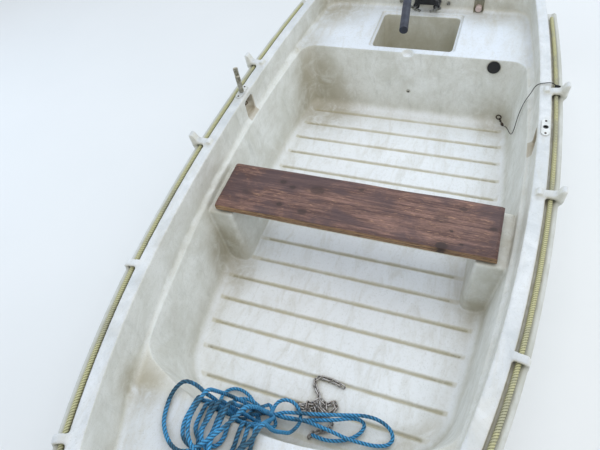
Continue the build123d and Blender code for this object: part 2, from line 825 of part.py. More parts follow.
# Gearcase with its skeg
gear_front = steer_x + 92
gear_back = propeller_x + 22
with BuildPart() as gearcase:
    with BuildSketch(Plane.XZ.offset(-motor_y)):
        with BuildLine():
            r = gearcase_diameter / 2
            Line((gear_back, gearcase_z), (gear_back, gearcase_z + r * 0.8))
            Line((gear_back, gearcase_z + r * 0.8), (gear_back + 60, gearcase_z + r))
            Line((gear_back + 60, gearcase_z + r), (gear_front - 90, gearcase_z + r))
            nose = 20
            taper = math.atan((r - nose) / (90 - nose))
            shoulder = (gear_front - nose + nose * math.sin(taper), gearcase_z + nose * math.cos(taper))
            Line((gear_front - 90, gearcase_z + r), shoulder)
            RadiusArc(shoulder, (gear_front, gearcase_z), nose)
            Line((gear_front, gearcase_z), (gear_back, gearcase_z))
        make_face()
    revolve(axis=Axis((0, motor_y, gearcase_z), (1, 0, 0)))
    with BuildSketch(Plane.XZ.offset(-motor_y - 4)):
        with BuildLine():
            Polyline((gear_front - 60, gearcase_z), (gear_front - 110, skeg_z), (gear_front - 165, skeg_z + 4),
                     (gear_front - 180, gearcase_z), (gear_front - 60, gearcase_z))
        make_face()
    extrude(amount=8)
gearcase.part.label = "gearcase"
export_step(gearcase.part, "parts/gearcase.step")
print("gearcase", gearcase.part.is_valid, len(gearcase.part.solids()))

# Leg: the steering tube above, the streamlined casing below it
with BuildPart() as leg:
    with BuildSketch(Plane.XY.offset(tube_bottom - 8)):
        with Locations((steer_x, motor_y)):
            Circle(tube_inner / 2 - tube_clearance)
    extrude(amount=pan_z - tube_bottom + 8)
    for level, depth, width in ((tube_bottom - 8, 96, 58), (40, 92, 48), (plate_z, 120, 42), (gearcase_z + 10, 118, 36)):
        with BuildSketch(Plane.XY.offset(level)):
            with Locations((steer_x - 8, motor_y)):
                Ellipse(depth / 2, width / 2)
    loft()
    add(gearcase.part, mode=Mode.SUBTRACT)
leg.part.label = "motor_leg"
export_step(leg.part, "parts/motor_leg.step")
print("leg", leg.part.is_valid, len(leg.part.solids()))

# Anti-ventilation plate, fitted round the leg
with BuildPart() as vent_plate:
    with BuildSketch(Plane.XY.offset(plate_z - 4)):
        with BuildLine():
            front = ThreePointArc((steer_x + 30, motor_y - 62), (steer_x + 72, motor_y), (steer_x + 30, motor_y + 62))
            Polyline(front @ 1, (steer_x - 150, motor_y + 78), (steer_x - 168, motor_y + 60),
                     (steer_x - 168, motor_y - 60), (steer_x - 150, motor_y - 78), front @ 0)
        make_face()
    extrude(amount=8)
    add(leg.part, mode=Mode.SUBTRACT)
vent_plate.part.label = "anti_ventilation_plate"
export_step(vent_plate.part, "parts/anti_ventilation_plate.step")

# Propeller with three blades, and its nut
with BuildPart() as propeller:
    with BuildSketch(Plane.YZ.offset(propeller_x - 24)):
        with Locations((motor_y, gearcase_z)):
            Circle(24)
    extrude(amount=24 + 22 - propeller_gap)
    for number in range(3):
        blade = Plane(origin=(propeller_x - 2, motor_y, gearcase_z), x_dir=(1, 0, 0),
                      z_dir=(0, math.cos(math.radians(120 * number + 90)), math.sin(math.radians(120 * number + 90))))
        for height, chord, pitch in ((18, 30, 50), (60, 62, 32), (propeller_radius, 24, 24)):
            with BuildSketch(blade.offset(height)):
                RectangleRounded(chord, 5, 2.4, rotation=90 - pitch)
        loft()
propeller.part.label = "propeller"
export_step(propeller.part, "parts/propeller.step")
print("prop", propeller.part.is_valid, len(propeller.part.solids()))

with BuildPart() as nut:
    with BuildSketch(Plane.YZ.offset(propeller_x - 24 - 22)):
        with Locations((motor_y, gearcase_z)):
            Circle(12)
    extrude(amount=22)
    fillet(nut.faces().sort_by(Axis.X)[0].edges(), 7)
nut.part.label = "propeller_nut"
export_step(nut.part, "parts/propeller_nut.step")

# Lower cowl
with BuildPart() as pan:
    with BuildSketch(Plane.XY.offset(pan_z)):
        with Locations((cowl_x, motor_y)):
            RectangleRounded(cowl_length - 40, cowl_width - 36, 60)
    with BuildSketch(Plane.XY.offset(pan_z + pan_height)):
        with Locations((cowl_x, motor_y)):
            RectangleRounded(cowl_length, cowl_width, 80)
    loft()
    with BuildSketch(Plane.XY.offset(pan_z)):
        with Locations((steer_x, motor_y)):
            Circle(collar_radius)
    extrude(amount=-(pan_z - tube_top - collar_gap))
    add(leg.part, mode=Mode.SUBTRACT)
pan.part.label = "lower_cowl"
export_step(pan.part, "parts/lower_cowl.step")
print("pan", pan.part.is_valid, len(pan.part.solids()))

# Upper cowl, a hollow lid over the engine
with BuildPart() as cowl:
    for inset, lift in ((0, 0), (4, cowl_height * 0.5), (26, cowl_height * 0.86), (58, cowl_height)):
        with BuildSketch(Plane.XY.offset(pan_z + pan_height + 0.5 + lift)):
            with Locations((cowl_x, motor_y)):
                RectangleRounded(cowl_length - 2 * inset, cowl_width - 2 * inset, 80 - inset * 0.7)
    loft()
    with BuildSketch(Plane.XY.offset(pan_z + pan_height + 0.5)):
        with Locations((cowl_x, motor_y)):
            RectangleRounded(cowl_length - 2 * cowl_wall - 8, cowl_width - 2 * cowl_wall - 8, 70)
    extrude(amount=cowl_height * 0.8, taper=6, mode=Mode.SUBTRACT)
cowl.part.label = "upper_cowl"
export_step(cowl.part, "parts/upper_cowl.step")
print("cowl", cowl.part.is_valid, len(cowl.part.solids()))

# Engine, one block inside the cowl
with BuildPart() as engine:
    with Locations((cowl_x, motor_y, pan_z + pan_height + 0.5 + 62)):
        Box(190, 130, 123)
engine.part.label = "engine_block"
export_step(engine.part, "parts/engine_block.step")

with BuildPart() as cap:
    with BuildSketch(Plane.XY.offset(pan_z + pan_height + 0.5 + cowl_height)):
        with Locations((cowl_x - 40, motor_y)):
            Circle(26)
    extrude(amount=16)
    fillet(cap.faces().sort_by(Axis.Z)[-1].edges(), 4)
cap.part.label = "fuel_cap"
export_step(cap.part, "parts/fuel_cap.step")

with BuildPart() as handle:
    with Locations((cowl_x + cowl_length / 2 + 8, motor_y, pan_z + pan_height + 60)):
        Box(14, 76, 18)
    fillet(handle.edges().filter_by(Axis.Y), 6)
handle.part.label = "starter_handle"
export_step(handle.part, "parts/starter_handle.step")

# Tiller: a bracket on the lower cowl, the folding arm and its grip
pivot = Vector(tiller_pivot_x, tiller_pivot_y, tiller_pivot_z)
reach = Vector(tiller_end_x, tiller_end_y, tiller_end_z) - pivot
along = reach.normalized()
across = Vector(-along.Y, along.X, 0).normalized()
print("fold axis", -across)
with BuildPart() as bracket:
    for side in (1, -1):
        with BuildSketch(Plane(origin=pivot + across * (side * 20 - 4), x_dir=along, z_dir=across * -1)):
            with BuildLine():
                Polyline((-30, -14), (14, -14), (14, 14), (-30, 14), (-30, -14))
            make_face()
            Circle(fold_pin / 2 + tube_clearance, mode=Mode.SUBTRACT)
        extrude(amount=-8)
    with BuildSketch(Plane(origin=pivot - along * 30, x_dir=across, z_dir=along)):
        Rectangle(48, 28)
    extrude(amount=-24)
    add(pan.part, mode=Mode.SUBTRACT)
bracket.part.label = "tiller_bracket"
export_step(bracket.part, "parts/tiller_bracket.step")
print("bracket", bracket.part.is_valid, len(bracket.part.solids()))

with BuildPart() as arm:
    with BuildSketch(Plane(origin=pivot + across * 15.5, x_dir=along, z_dir=across * -1)):
        SlotCenterToCenter(2, 27)
    extrude(amount=31)
    with BuildSketch(Plane(origin=pivot + across * 24, x_dir=along, z_dir=across * -1)):
        Circle(fold_pin / 2)
    extrude(amount=48)
    with BuildSketch(Plane(origin=pivot, x_dir=across, z_dir=along)):
        RectangleRounded(28, 26, 8)
    with BuildSketch(Plane(origin=pivot + along * (reach.length - grip_length), x_dir=across, z_dir=along)):
        RectangleRounded(26, 24, 10)
    loft()
    with BuildSketch(Plane(origin=pivot + along * (reach.length - grip_length), x_dir=across, z_dir=along)):
        Circle(9)
    extrude(amount=grip_length - 20)
arm.part.label = "tiller_arm"
export_step(arm.part, "parts/tiller_arm.step")
print("arm", arm.part.is_valid, len(arm.part.solids()))

with BuildPart() as grip:
    with BuildSketch(Plane(origin=pivot + along * (reach.length - grip_length + 1), x_dir=across, z_dir=along)):
        Circle(grip_diameter / 2)
        Circle(9, mode=Mode.SUBTRACT)
    extrude(amount=grip_length - 21)
    with BuildSketch(Plane(origin=pivot + along * (reach.length - 20), x_dir=across, z_dir=along)):
        Circle(grip_diameter / 2)
    extrude(amount=20)
grip.part.label = "tiller_grip"
export_step(grip.part, "parts/tiller_grip.step")
print("grip", grip.part.is_valid, len(grip.part.solids()))

# Bow eye: a U-bolt through the stem
with BuildPart() as bow_eye:
    with BuildLine(Plane.XZ) as bail:
        Line((stem_x - eye_depth, eye_z - eye_half), (stem_x + eye_stand_off, eye_z - eye_half))
        ThreePointArc((stem_x + eye_stand_off, eye_z - eye_half), (stem_x + eye_stand_off + eye_half, eye_z),
                      (stem_x + eye_stand_off, eye_z + eye_half))
        Line((stem_x + eye_stand_off, eye_z + eye_half), (stem_x - eye_depth, eye_z + eye_half))
    with BuildSketch(Plane(origin=bail.line @ 0, z_dir=bail.line % 0)):
        Circle(eye_rod / 2)
    sweep()
bow_eye.part.label = "bow_eye"
export_step(bow_eye.part, "parts/bow_eye.step")
print("eye", bow_eye.part.is_valid, len(bow_eye.part.solids()), bow_eye.part.bounding_box())

# Lanyard, a black cord from the aft port cleat, and the snap hook on its end
route_points = [Vector(point) for point in lanyard_points]
radii = corner_radii(route_points)
with BuildPart() as lanyard:
    with BuildLine() as route:
        FilletPolyline(*route_points, radius=radii)
    with BuildSketch(Plane(origin=route.line @ 0, z_dir=route.line % 0)):
        Circle(lanyard_diameter / 2)
    sweep()
    add(hull.part, mode=Mode.SUBTRACT)
lanyard.part.label = "lanyard"
export_step(lanyard.part, "parts/lanyard.step")
cord_length = route.wires()[0].length
print("lanyard length", round(cord_length), "volume", round(lanyard.part.volume, 1),
      "section times length", round(cord_length * math.pi * lanyard_diameter**2 / 4, 1),
      "radii", [round(radius) for radius in radii])

lay = (route_points[-1] - Vector(hook_tip)).normalized()
hook_plane = Plane(origin=Vector(hook_tip), x_dir=lay, z_dir=(lay.Z * -1 * lay.X, -lay.Z * lay.Y, 1))
with BuildPart() as snap_hook:
    with BuildSketch(hook_plane.offset(-hook_rod / 2)):
        with Locations((hook_length / 2, 0)):
            SlotOverall(hook_length, hook_width)
            SlotOverall(hook_length - 2 * hook_rod, hook_width - 2 * hook_rod, mode=Mode.SUBTRACT)
        with Locations((hook_length * 0.66, 0)):
            Rectangle(hook_rod, hook_width - hook_rod)
    extrude(amount=hook_rod)
    add(lanyard.part, mode=Mode.SUBTRACT)
snap_hook.part.label = "snap_hook"
export_step(snap_hook.part, "parts/snap_hook.step")
print("hook", snap_hook.part.is_valid, len(snap_hook.part.solids()))

# Mooring rope: its loops on the bow seat, the stretch that hangs over the seat's edge, and those on the floor
seat_loops_bottom = seat_z + 1 + rope_clearance
with BuildPart() as seat_loops:
    with BuildSketch(Plane.XY.offset(seat_loops_bottom)) as outline:
        with BuildLine():
            Polyline((bow_edge(loops_port_y) - seat_loops_overhang, loops_port_y), (seat_loops_forward, loops_port_y),
                     (seat_loops_forward, loops_starboard_y - 40),
                     (bow_edge(loops_starboard_y) - seat_loops_overhang, loops_starboard_y - 40),
                     (bow_edge(loops_port_y) - seat_loops_overhang, loops_port_y))
        make_face()
        fillet(outline.vertices(), loops_corner)
    extrude(amount=seat_loops_thickness)
    fillet(seat_loops.faces().sort_by(Axis.Z)[-1].edges(), 10)
seat_loops.part.label = "mooring_rope_seat"
export_step(seat_loops.part, "parts/mooring_rope_seat.step")

floor_loops_top = floor_z + rope_clearance + floor_loops_thickness
with BuildPart() as hanging_loops:
    for y in (loops_starboard_y, (loops_starboard_y + loops_port_y) / 2, loops_port_y):
        top_x = bow_edge(y) - hanging_loops_gap
        foot_x = top_x - bow_seat_rake * (seat_loops_bottom - floor_loops_top) / (seat_z + 1 - floor_z)
        with BuildSketch(Plane.XZ.offset(-y)):
            with BuildLine():
                Polyline((top_x, seat_loops_bottom), (foot_x, floor_loops_top),
                         (foot_x - hanging_loops_thickness, floor_loops_top),
                         (top_x - hanging_loops_thickness, seat_loops_bottom), (top_x, seat_loops_bottom))
            make_face()
    loft(ruled=True)
hanging_loops.part.label = "mooring_rope_hanging"
export_step(hanging_loops.part, "parts/mooring_rope_hanging.step")

with BuildPart() as floor_loops:
    with BuildSketch(Plane.XY.offset(floor_z + rope_clearance)) as outline:
        with BuildLine():
            Polyline(*floor_loops_outline, floor_loops_outline[0])
        make_face()
        fillet(outline.vertices(), loops_corner)
    extrude(amount=floor_loops_thickness)
floor_loops.part.label = "mooring_rope_floor"
export_step(floor_loops.part, "parts/mooring_rope_floor.step")

with BuildPart() as chain:
    with BuildSketch(Plane.XY.offset(floor_z + rope_clearance)) as outline:
        with BuildLine():
            Polyline(*chain_outline, chain_outline[0])
        make_face()
        fillet(outline.vertices().group_by(Axis.X)[0], 12)
    extrude(amount=chain_thickness)
chain.part.label = "mooring_chain"
export_step(chain.part, "parts/mooring_chain.step")
for piece in (seat_loops, hanging_loops, floor_loops, chain):
    print(piece.part.label, piece.part.is_valid, len(piece.part.solids()), piece.part.bounding_box())
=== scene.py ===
import bpy
import bmesh
import math
import random
import numpy as np
from mathutils import Matrix, Vector


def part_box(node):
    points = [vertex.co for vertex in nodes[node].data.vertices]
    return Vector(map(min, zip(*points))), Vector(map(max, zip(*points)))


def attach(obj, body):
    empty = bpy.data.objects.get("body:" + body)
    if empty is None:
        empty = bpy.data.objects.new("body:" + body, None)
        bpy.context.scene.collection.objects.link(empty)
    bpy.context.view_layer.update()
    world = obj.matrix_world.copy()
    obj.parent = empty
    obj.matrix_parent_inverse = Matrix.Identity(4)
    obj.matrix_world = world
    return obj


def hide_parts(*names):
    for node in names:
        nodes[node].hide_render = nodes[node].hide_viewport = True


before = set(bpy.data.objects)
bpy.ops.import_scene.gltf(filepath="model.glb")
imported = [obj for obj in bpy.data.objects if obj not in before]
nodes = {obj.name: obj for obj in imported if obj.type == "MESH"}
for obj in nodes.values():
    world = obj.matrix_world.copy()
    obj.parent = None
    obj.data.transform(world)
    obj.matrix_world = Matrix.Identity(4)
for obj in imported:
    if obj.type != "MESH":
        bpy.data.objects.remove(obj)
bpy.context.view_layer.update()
rng = random.Random(7)


# Camera: high above the bow's port side, looking aft and down
camera_place = (0.892, 0.383, 1.714)
camera_right = Vector((-0.32767, 0.93478, -0.13722))
camera_down = Vector((0.77706, 0.18403, -0.60192))
camera_ahead = Vector((-0.53741, -0.30386, -0.78668))
camera_data = bpy.data.cameras.new("camera")
camera_data.sensor_width = 36
camera_data.lens = 30.98
camera_data.clip_start = 0.02
camera = bpy.data.objects.new("camera", camera_data)
bpy.context.scene.collection.objects.link(camera)
camera_turn = Matrix((camera_right, -camera_down, -camera_ahead)).transposed()
camera.matrix_world = Matrix.Translation(camera_place) @ camera_turn.to_4x4()
bpy.context.scene.camera = camera
bpy.context.scene.view_settings.view_transform = "Standard"


class Paint:
    """A procedural material, with short names for the nodes that it is made of."""

    def __init__(self, name, roughness=0.5, metallic=0.0):
        self.material = bpy.data.materials.new(name)
        self.material.use_nodes = True
        self.tree = self.material.node_tree
        self.shader = self.tree.nodes["Principled BSDF"]
        self.shader.inputs["Roughness"].default_value = roughness
        self.shader.inputs["Metallic"].default_value = metallic
        self.place = self.tree.nodes.new("ShaderNodeTexCoord").outputs["Object"]
        self.split = None
        self.base = None

    def put(self, value, socket):
        if isinstance(value, bpy.types.NodeSocket):
            self.tree.links.new(value, socket)
        elif value is not None:
            if isinstance(value, (tuple, list)) and len(value) == 3 and socket.type == "RGBA":
                value = (*value, 1)
            socket.default_value = value

    def axis(self, number):
        if self.split is None:
            self.split = self.tree.nodes.new("ShaderNodeSeparateXYZ")
            self.tree.links.new(self.place, self.split.inputs[0])
        return self.split.outputs[number]

    def stretch(self, factors):
        node = self.tree.nodes.new("ShaderNodeVectorMath")
        node.operation = "MULTIPLY"
        self.put(self.place, node.inputs[0])
        node.inputs[1].default_value = factors
        return node.outputs[0]

    def noise(self, scale, detail=4, rough=0.55, distort=0.0, vector=None):
        node = self.tree.nodes.new("ShaderNodeTexNoise")
        self.put(vector or self.place, node.inputs["Vector"])
        node.inputs["Scale"].default_value = scale
        node.inputs["Detail"].default_value = detail
        node.inputs["Roughness"].default_value = rough
        node.inputs["Distortion"].default_value = distort
        return node.outputs["Fac"]

    def sum(self, operation, a, b=None):
        node = self.tree.nodes.new("ShaderNodeMath")
        node.operation = operation
        for value, socket in zip((a, b), node.inputs):
            self.put(value, socket)
        return node.outputs[0]

    def times(self, *values):
        """The product of all these values."""
        product = values[0]
        for value in values[1:]:
            product = self.sum("MULTIPLY", product, value)
        return product

    def span(self, value, low, high, to_low=0.0, to_high=1.0):
        """A value brought smoothly from one range to another."""
        node = self.tree.nodes.new("ShaderNodeMapRange")
        node.interpolation_type = "SMOOTHSTEP"
        for item, socket in zip((value, low, high, to_low, to_high), node.inputs):
            self.put(item, socket)
        return node.outputs[0]

    def mix(self, amount, a, b):
        node = self.tree.nodes.new("ShaderNodeMix")
        node.data_type = "RGBA"
        self.put(amount, node.inputs["Factor"])
        self.put(a, node.inputs[6])
        self.put(b, node.inputs[7])
        return node.outputs[2]

    def cover(self, colour, *amounts):
        """Lay a colour over the base so far, by the product of these amounts."""
        self.base = self.mix(self.times(*amounts), self.base, colour)

    def corners(self, distance):
        node = self.tree.nodes.new("ShaderNodeAmbientOcclusion")
        node.inputs["Distance"].default_value = distance
        node.samples = 4
        return node.outputs["AO"]

    def normal_part(self, number):
        node = self.tree.nodes.new("ShaderNodeNewGeometry")
        split = self.tree.nodes.new("ShaderNodeSeparateXYZ")
        self.tree.links.new(node.outputs["Normal"], split.inputs[0])
        return split.outputs[number]

    def near(self, spot, radius):
        """1 at a spot, fading to 0 at this distance from it."""
        node = self.tree.nodes.new("ShaderNodeVectorMath")
        node.operation = "DISTANCE"
        self.put(self.place, node.inputs[0])
        node.inputs[1].default_value = spot
        return self.span(node.outputs["Value"], 0.2 * radius, radius, 1.0, 0.0)

    def between(self, value, low, high, soft=0.002):
        """1 between two values, with soft ends."""
        return self.times(self.span(value, low - soft, low + soft),
                          self.span(value, high - soft, high + soft, 1.0, 0.0))

    def stored(self, name):
        node = self.tree.nodes.new("ShaderNodeAttribute")
        node.attribute_name = name
        return node.outputs["Fac"]

    def colour(self, value):
        self.put(value, self.shader.inputs["Base Color"])

    def rough(self, value):
        self.put(value, self.shader.inputs["Roughness"])

    def relief(self, height, strength=0.3, distance=0.001, edge=0.0):
        node = self.tree.nodes.new("ShaderNodeBump")
        node.inputs["Strength"].default_value = strength
        node.inputs["Distance"].default_value = distance
        self.put(height, node.inputs["Height"])
        if edge:
            bevel = self.tree.nodes.new("ShaderNodeBevel")
            bevel.samples = 4
            bevel.inputs["Radius"].default_value = edge
            self.tree.links.new(bevel.outputs[0], node.inputs["Normal"])
        self.tree.links.new(node.outputs[0], self.shader.inputs["Normal"])


def srgb(red, green, blue):
    """A colour given as 0 to 255, as a screen shows it."""
    return tuple(((c / 255 + 0.055) / 1.055) ** 2.4 if c > 10 else c / 255 / 12.92
                 for c in (red, green, blue))


# Floor, light and background
floor_paint = Paint("pale_floor", 0.7)
floor_paint.colour(floor_paint.mix(floor_paint.noise(1.5), srgb(226, 229, 231), srgb(232, 234, 236)))
bpy.ops.mesh.primitive_plane_add(size=30, location=(0, 0, 0))
floor = bpy.context.object
floor.name = "floor"
floor.data.materials.append(floor_paint.material)

world = bpy.data.worlds.new("studio")
bpy.context.scene.world = world
world.use_nodes = True
tree = world.node_tree
sky = tree.nodes["Background"]
sky.inputs["Color"].default_value = (0.95, 0.975, 1.0, 1)
sky.inputs["Strength"].default_value = 0.7
white = tree.nodes.new("ShaderNodeBackground")
white.inputs["Color"].default_value = (1, 1, 1, 1)
white.inputs["Strength"].default_value = 1
ray = tree.nodes.new("ShaderNodeLightPath")


def either(first, second):
    """Either of two kinds of ray."""
    node = tree.nodes.new("ShaderNodeMath")
    node.operation = "MAXIMUM"
    tree.links.new(first, node.inputs[0])
    tree.links.new(second, node.inputs[1])
    return node.outputs[0]


shown = either(either(ray.outputs["Is Camera Ray"], ray.outputs["Is Glossy Ray"]),
               ray.outputs["Is Transmission Ray"])
both = tree.nodes.new("ShaderNodeMixShader")
tree.links.new(shown, both.inputs[0])
tree.links.new(sky.outputs[0], both.inputs[1])
tree.links.new(white.outputs[0], both.inputs[2])
tree.links.new(both.outputs[0], tree.nodes["World Output"].inputs["Surface"])

# columns: name, place, the point it faces, size, power, colour
for name, place, target, size, power, tint in (
        ("lamp_top", (-0.2, 0.6, 3.6), (-0.1, 0, 0.2), 3.0, 38, (1, 0.985, 0.95)),
        ("lamp_port", (0.6, 3.2, 2.2), (-0.2, -0.3, 0.3), 2.4, 15, (1, 0.98, 0.95)),
        ("lamp_aft", (-3.0, 1.3, 3.0), (-0.3, 0.1, 0.1), 2.4, 36, (0.72, 0.86, 1)),
        ("lamp_starboard", (-0.2, -3.0, 2.0), (-0.3, 0.4, 0.2), 2.2, 24, (0.62, 0.8, 1))):
    lamp = bpy.data.lights.new(name, "AREA")
    lamp.size = size
    lamp.energy = power
    lamp.color = tint
    holder = bpy.data.objects.new(name, lamp)
    holder.location = place
    holder.rotation_euler = (Vector(target) - Vector(place)).to_track_quat("-Z", "Y").to_euler()
    bpy.context.scene.collection.objects.link(holder)


# Making meshes
def new_piece(name, data, body, slot, paint, *replaced):
    """A piece that rides on a body, has a finish and may stand for CAD nodes."""
    piece = bpy.data.objects.new(name, data)
    bpy.context.scene.collection.objects.link(piece)
    piece.data.materials.clear()
    piece.data.materials.append(paint.material)
    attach(piece, body)
    if replaced:
        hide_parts(*replaced)
    return piece


def mesh_from(name, points, faces):
    data = bpy.data.meshes.new(name)
    data.from_pydata([tuple(point) for point in points], [], faces)
    data.update()
    data.shade_smooth()
    return data


def spline(name, points, resolution=12):
    """An open NURBS curve with these control points."""
    data = bpy.data.curves.new(name, "CURVE")
    data.dimensions = "3D"
    line = data.splines.new("NURBS")
    line.points.add(len(points) - 1)
    for item, point in zip(line.points, points):
        item.co = (*point, 1)
    line.order_u = 3
    line.use_endpoint_u = True
    data.resolution_u = resolution
    return data


def line_of(data, spacing):
    """Evenly spaced points along a curve that has no thickness yet, and its length."""
    holder = bpy.data.objects.new("line", data)
    bpy.context.scene.collection.objects.link(holder)
    drawn = bpy.data.meshes.new_from_object(holder.evaluated_get(bpy.context.evaluated_depsgraph_get()))
    points = np.array([tuple(v.co) for v in drawn.vertices])
    bpy.data.objects.remove(holder)
    bpy.data.meshes.remove(drawn)
    steps = np.linalg.norm(np.diff(points, axis=0), axis=1)
    points = points[np.r_[True, steps > 1e-7]]
    along = np.r_[0, np.cumsum(np.linalg.norm(np.diff(points, axis=0), axis=1))]
    count = max(int(along[-1] / spacing), 2)
    wanted = np.linspace(0, along[-1], count + 1)
    return np.stack([np.interp(wanted, along, points[:, k]) for k in range(3)], 1), along[-1]


def frames_along(points):
    """Tangents and two side directions that don't spin along a line."""
    tangents = np.gradient(points, axis=0)
    tangents /= np.linalg.norm(tangents, axis=1)[:, None]
    side = np.cross(tangents[0], (0, 0, 1) if abs(tangents[0][2]) < 0.9 else (1, 0, 0))
    side /= np.linalg.norm(side)
    sides = []
    for tangent in tangents:
        side = side - tangent * np.dot(side, tangent)
        side /= np.linalg.norm(side)
        sides.append(side)
    sides = np.array(sides)
    return tangents, sides, np.cross(tangents, sides)


def laid_rope(name, points, spacing, diameter, pitch, around=18, strands=3):
    """A rope of twisted strands along evenly spaced points. Its "lay" is 0 between strands and 1 on them."""
    tangents, sides, ups = frames_along(points)
    verts, faces, lay = [], [], []
    angles = np.arange(around) * 2 * math.pi / around
    for row, (point, side, up) in enumerate(zip(points, sides, ups)):
        twist = 2 * math.pi * row * spacing / pitch
        lobes = np.abs(np.cos(strands * (angles - twist) / 2)) ** 0.7
        radius = diameter / 2 * (0.73 + 0.29 * lobes)
        near_end = min(row, len(points) - 1 - row)
        radius = radius * (0.55, 0.85)[near_end] if near_end < 2 else radius
        ring = point + radius[:, None] * (np.cos(angles)[:, None] * side + np.sin(angles)[:, None] * up)
        verts.extend(ring)
        lay.extend(lobes)
    for row in range(len(points) - 1):
        for k in range(around):
            a, b = row * around + k, row * around + (k + 1) % around
            faces.append((a, b, b + around, a + around))
    faces.append(tuple(range(around))[::-1])
    last = (len(points) - 1) * around
    faces.append(tuple(last + k for k in range(around)))
    data = mesh_from(name, verts, faces)
    data.attributes.new("lay", "FLOAT", "POINT").data.foreach_set("value", lay)
    return data


def ring_mesh(route, radius, around, normal=(0, 1.0, 0)):
    """Vertices and faces of a round bar along a closed, nearly flat list of points."""
    tangents = np.roll(route, -1, 0) - np.roll(route, 1, 0)
    verts, faces = [], []
    for point, tangent in zip(route, tangents):
        tangent = tangent / np.linalg.norm(tangent)
        out = np.cross(tangent, normal)
        out /= np.linalg.norm(out)
        other = np.cross(tangent, out)
        for k in range(around):
            angle = 2 * math.pi * k / around
            verts.append(point + radius * (math.cos(angle) * out + math.sin(angle) * other))
    count = len(route) * around
    for row in range(len(route)):
        for k in range(around):
            a, b = row * around + k, row * around + (k + 1) % around
            faces.append((a, b, (b + around) % count, (a + around) % count))
    return verts, faces


# Materials: the hull's plastic, weathered where the photograph shows it, with painted shade on its walls, in
# its corners and recesses, and painted skylight and sheen on its upper surfaces
hull_paint = Paint("weathered_plastic_with_painted_shade", 0.5)
p = hull_paint
along = p.axis(0)
across = p.sum("ABSOLUTE", p.axis(1))
level = p.axis(2)
facing = p.normal_part(2)
steep = p.span(p.sum("ABSOLUTE", facing), 0.35, 0.92, 1.0, 0.0)
cloud = p.noise(3.2, 6, 0.6)
mottle = p.noise(8, 8, 0.7, 0.5)
mottled = p.span(mottle, 0.3, 0.7)
blotches = p.noise(14, 8, 0.7, 0.6)
fine = p.noise(75, 6, 0.7)
speckle = p.noise(260, 3, 0.6)
streak = p.noise(30, 6, 0.7, 0.3, p.stretch((1, 1, 0.18)))
smear = p.noise(11, 7, 0.7, 0.8, p.stretch((0.5, 1.6, 1)))
# Ambient occlusion: where dirt gathers and where painted shade goes, in corners and in tight creases
corner_dirt_and_shade = p.span(p.corners(0.14), 0.45, 0.98, 1.0, 0.0)
crease_dirt_and_shade = p.span(p.corners(0.022), 0.4, 0.95, 1.0, 0.0)


def patchy_dirt_and_shade(least, most, low=0.25, high=0.7):
    """Patchy amounts between two values, from the blotch noise: for dirt, and for painted shade in corners
    and recesses.
    """
    return p.span(blotches, low, high, least, most)


p.base = p.mix(cloud, srgb(228, 233, 238), srgb(244, 247, 250))
# Above 0.3 m a bluer, slightly darker white: a painted tint of blue skylight on the seats, the bench and the
# band
p.cover(p.mix(cloud, srgb(212, 220, 230), srgb(230, 236, 243)), p.span(level, 0.29, 0.31))
# Walls: a greyer, greener mottled white, partly stains and partly painted shade on the steep sides; the
# ledge's top gets the same painted shade
ledge_painted_shade = p.times(p.between(along, -1.04, 0.60, 0.02), p.span(level, 0.2, 0.22))
wall_stains_and_shade = p.mix(mottled, srgb(208, 209, 201), srgb(232, 234, 231))
p.cover(wall_stains_and_shade, p.sum("MAXIMUM", steep, p.times(ledge_painted_shade, 0.8)))
# The band's top: a greyer blue-white, a painted sheen of the sky
band_sheen = p.times(p.span(level, 0.372, 0.396), p.span(facing, 0.5, 0.95))
p.cover(p.mix(mottled, srgb(188, 194, 199), srgb(219, 223, 227)), band_sheen, 0.9)
p.cover(srgb(196, 194, 184), p.span(smear, 0.45, 0.7), 0.4)
p.cover(srgb(184, 185, 178), p.span(fine, 0.5, 0.75), 0.32)
outside = p.span(facing, -0.2, -0.03, 1.0, 0.0)
p.cover(p.mix(cloud, srgb(222, 225, 226), srgb(233, 236, 238)), outside, 0.65)
# Khaki dirt with painted shade in the corners, and darker dirt with painted shade in tight creases
p.cover(srgb(178, 170, 146), corner_dirt_and_shade, patchy_dirt_and_shade(0.35, 1.0), 0.6)
p.cover(srgb(142, 134, 110), crease_dirt_and_shade, p.span(p.noise(40, 5), 0.3, 0.7, 0.35, 1.0), 0.7)
p.cover(srgb(170, 172, 164), p.span(streak, 0.52, 0.8), steep, 0.45)
p.cover(srgb(150, 153, 150), p.span(speckle, 0.58, 0.72), 0.35)
p.cover(srgb(176, 178, 168), p.stored("lip"), p.span(mottle, 0.3, 0.7, 0.85, 0.45))

# Dirt where it has gathered: in the floor's grooves, thickest at their ends, and beside them
groove_pitch = 0.1
first_groove = -0.965
on_floor_length = p.between(along, -1.0, 0.56)
in_groove = p.times(p.span(level, 0.0185, 0.0243, 1.0, 0.0), p.span(level, 0.012, 0.016), on_floor_length,
                    p.span(facing, 0.0, 0.2))
p.cover(srgb(176, 169, 142), in_groove, patchy_dirt_and_shade(0.45, 0.9, 0.25, 0.65))
p.cover(srgb(88, 82, 62), in_groove, p.span(across, 0.26, 0.42), p.span(fine, 0.42, 0.6, 0.0, 0.85))
from_groove = p.sum("PINGPONG", p.sum("ADD", along, 1 - first_groove), groove_pitch / 2)
halo = p.times(p.span(from_groove, 0.004, 0.013, 1.0, 0.0), p.between(level, 0.016, 0.029), on_floor_length,
               p.span(facing, 0.3, 0.6))
p.cover(srgb(190, 184, 162), halo, patchy_dirt_and_shade(0.3, 0.8, 0.3, 0.7))
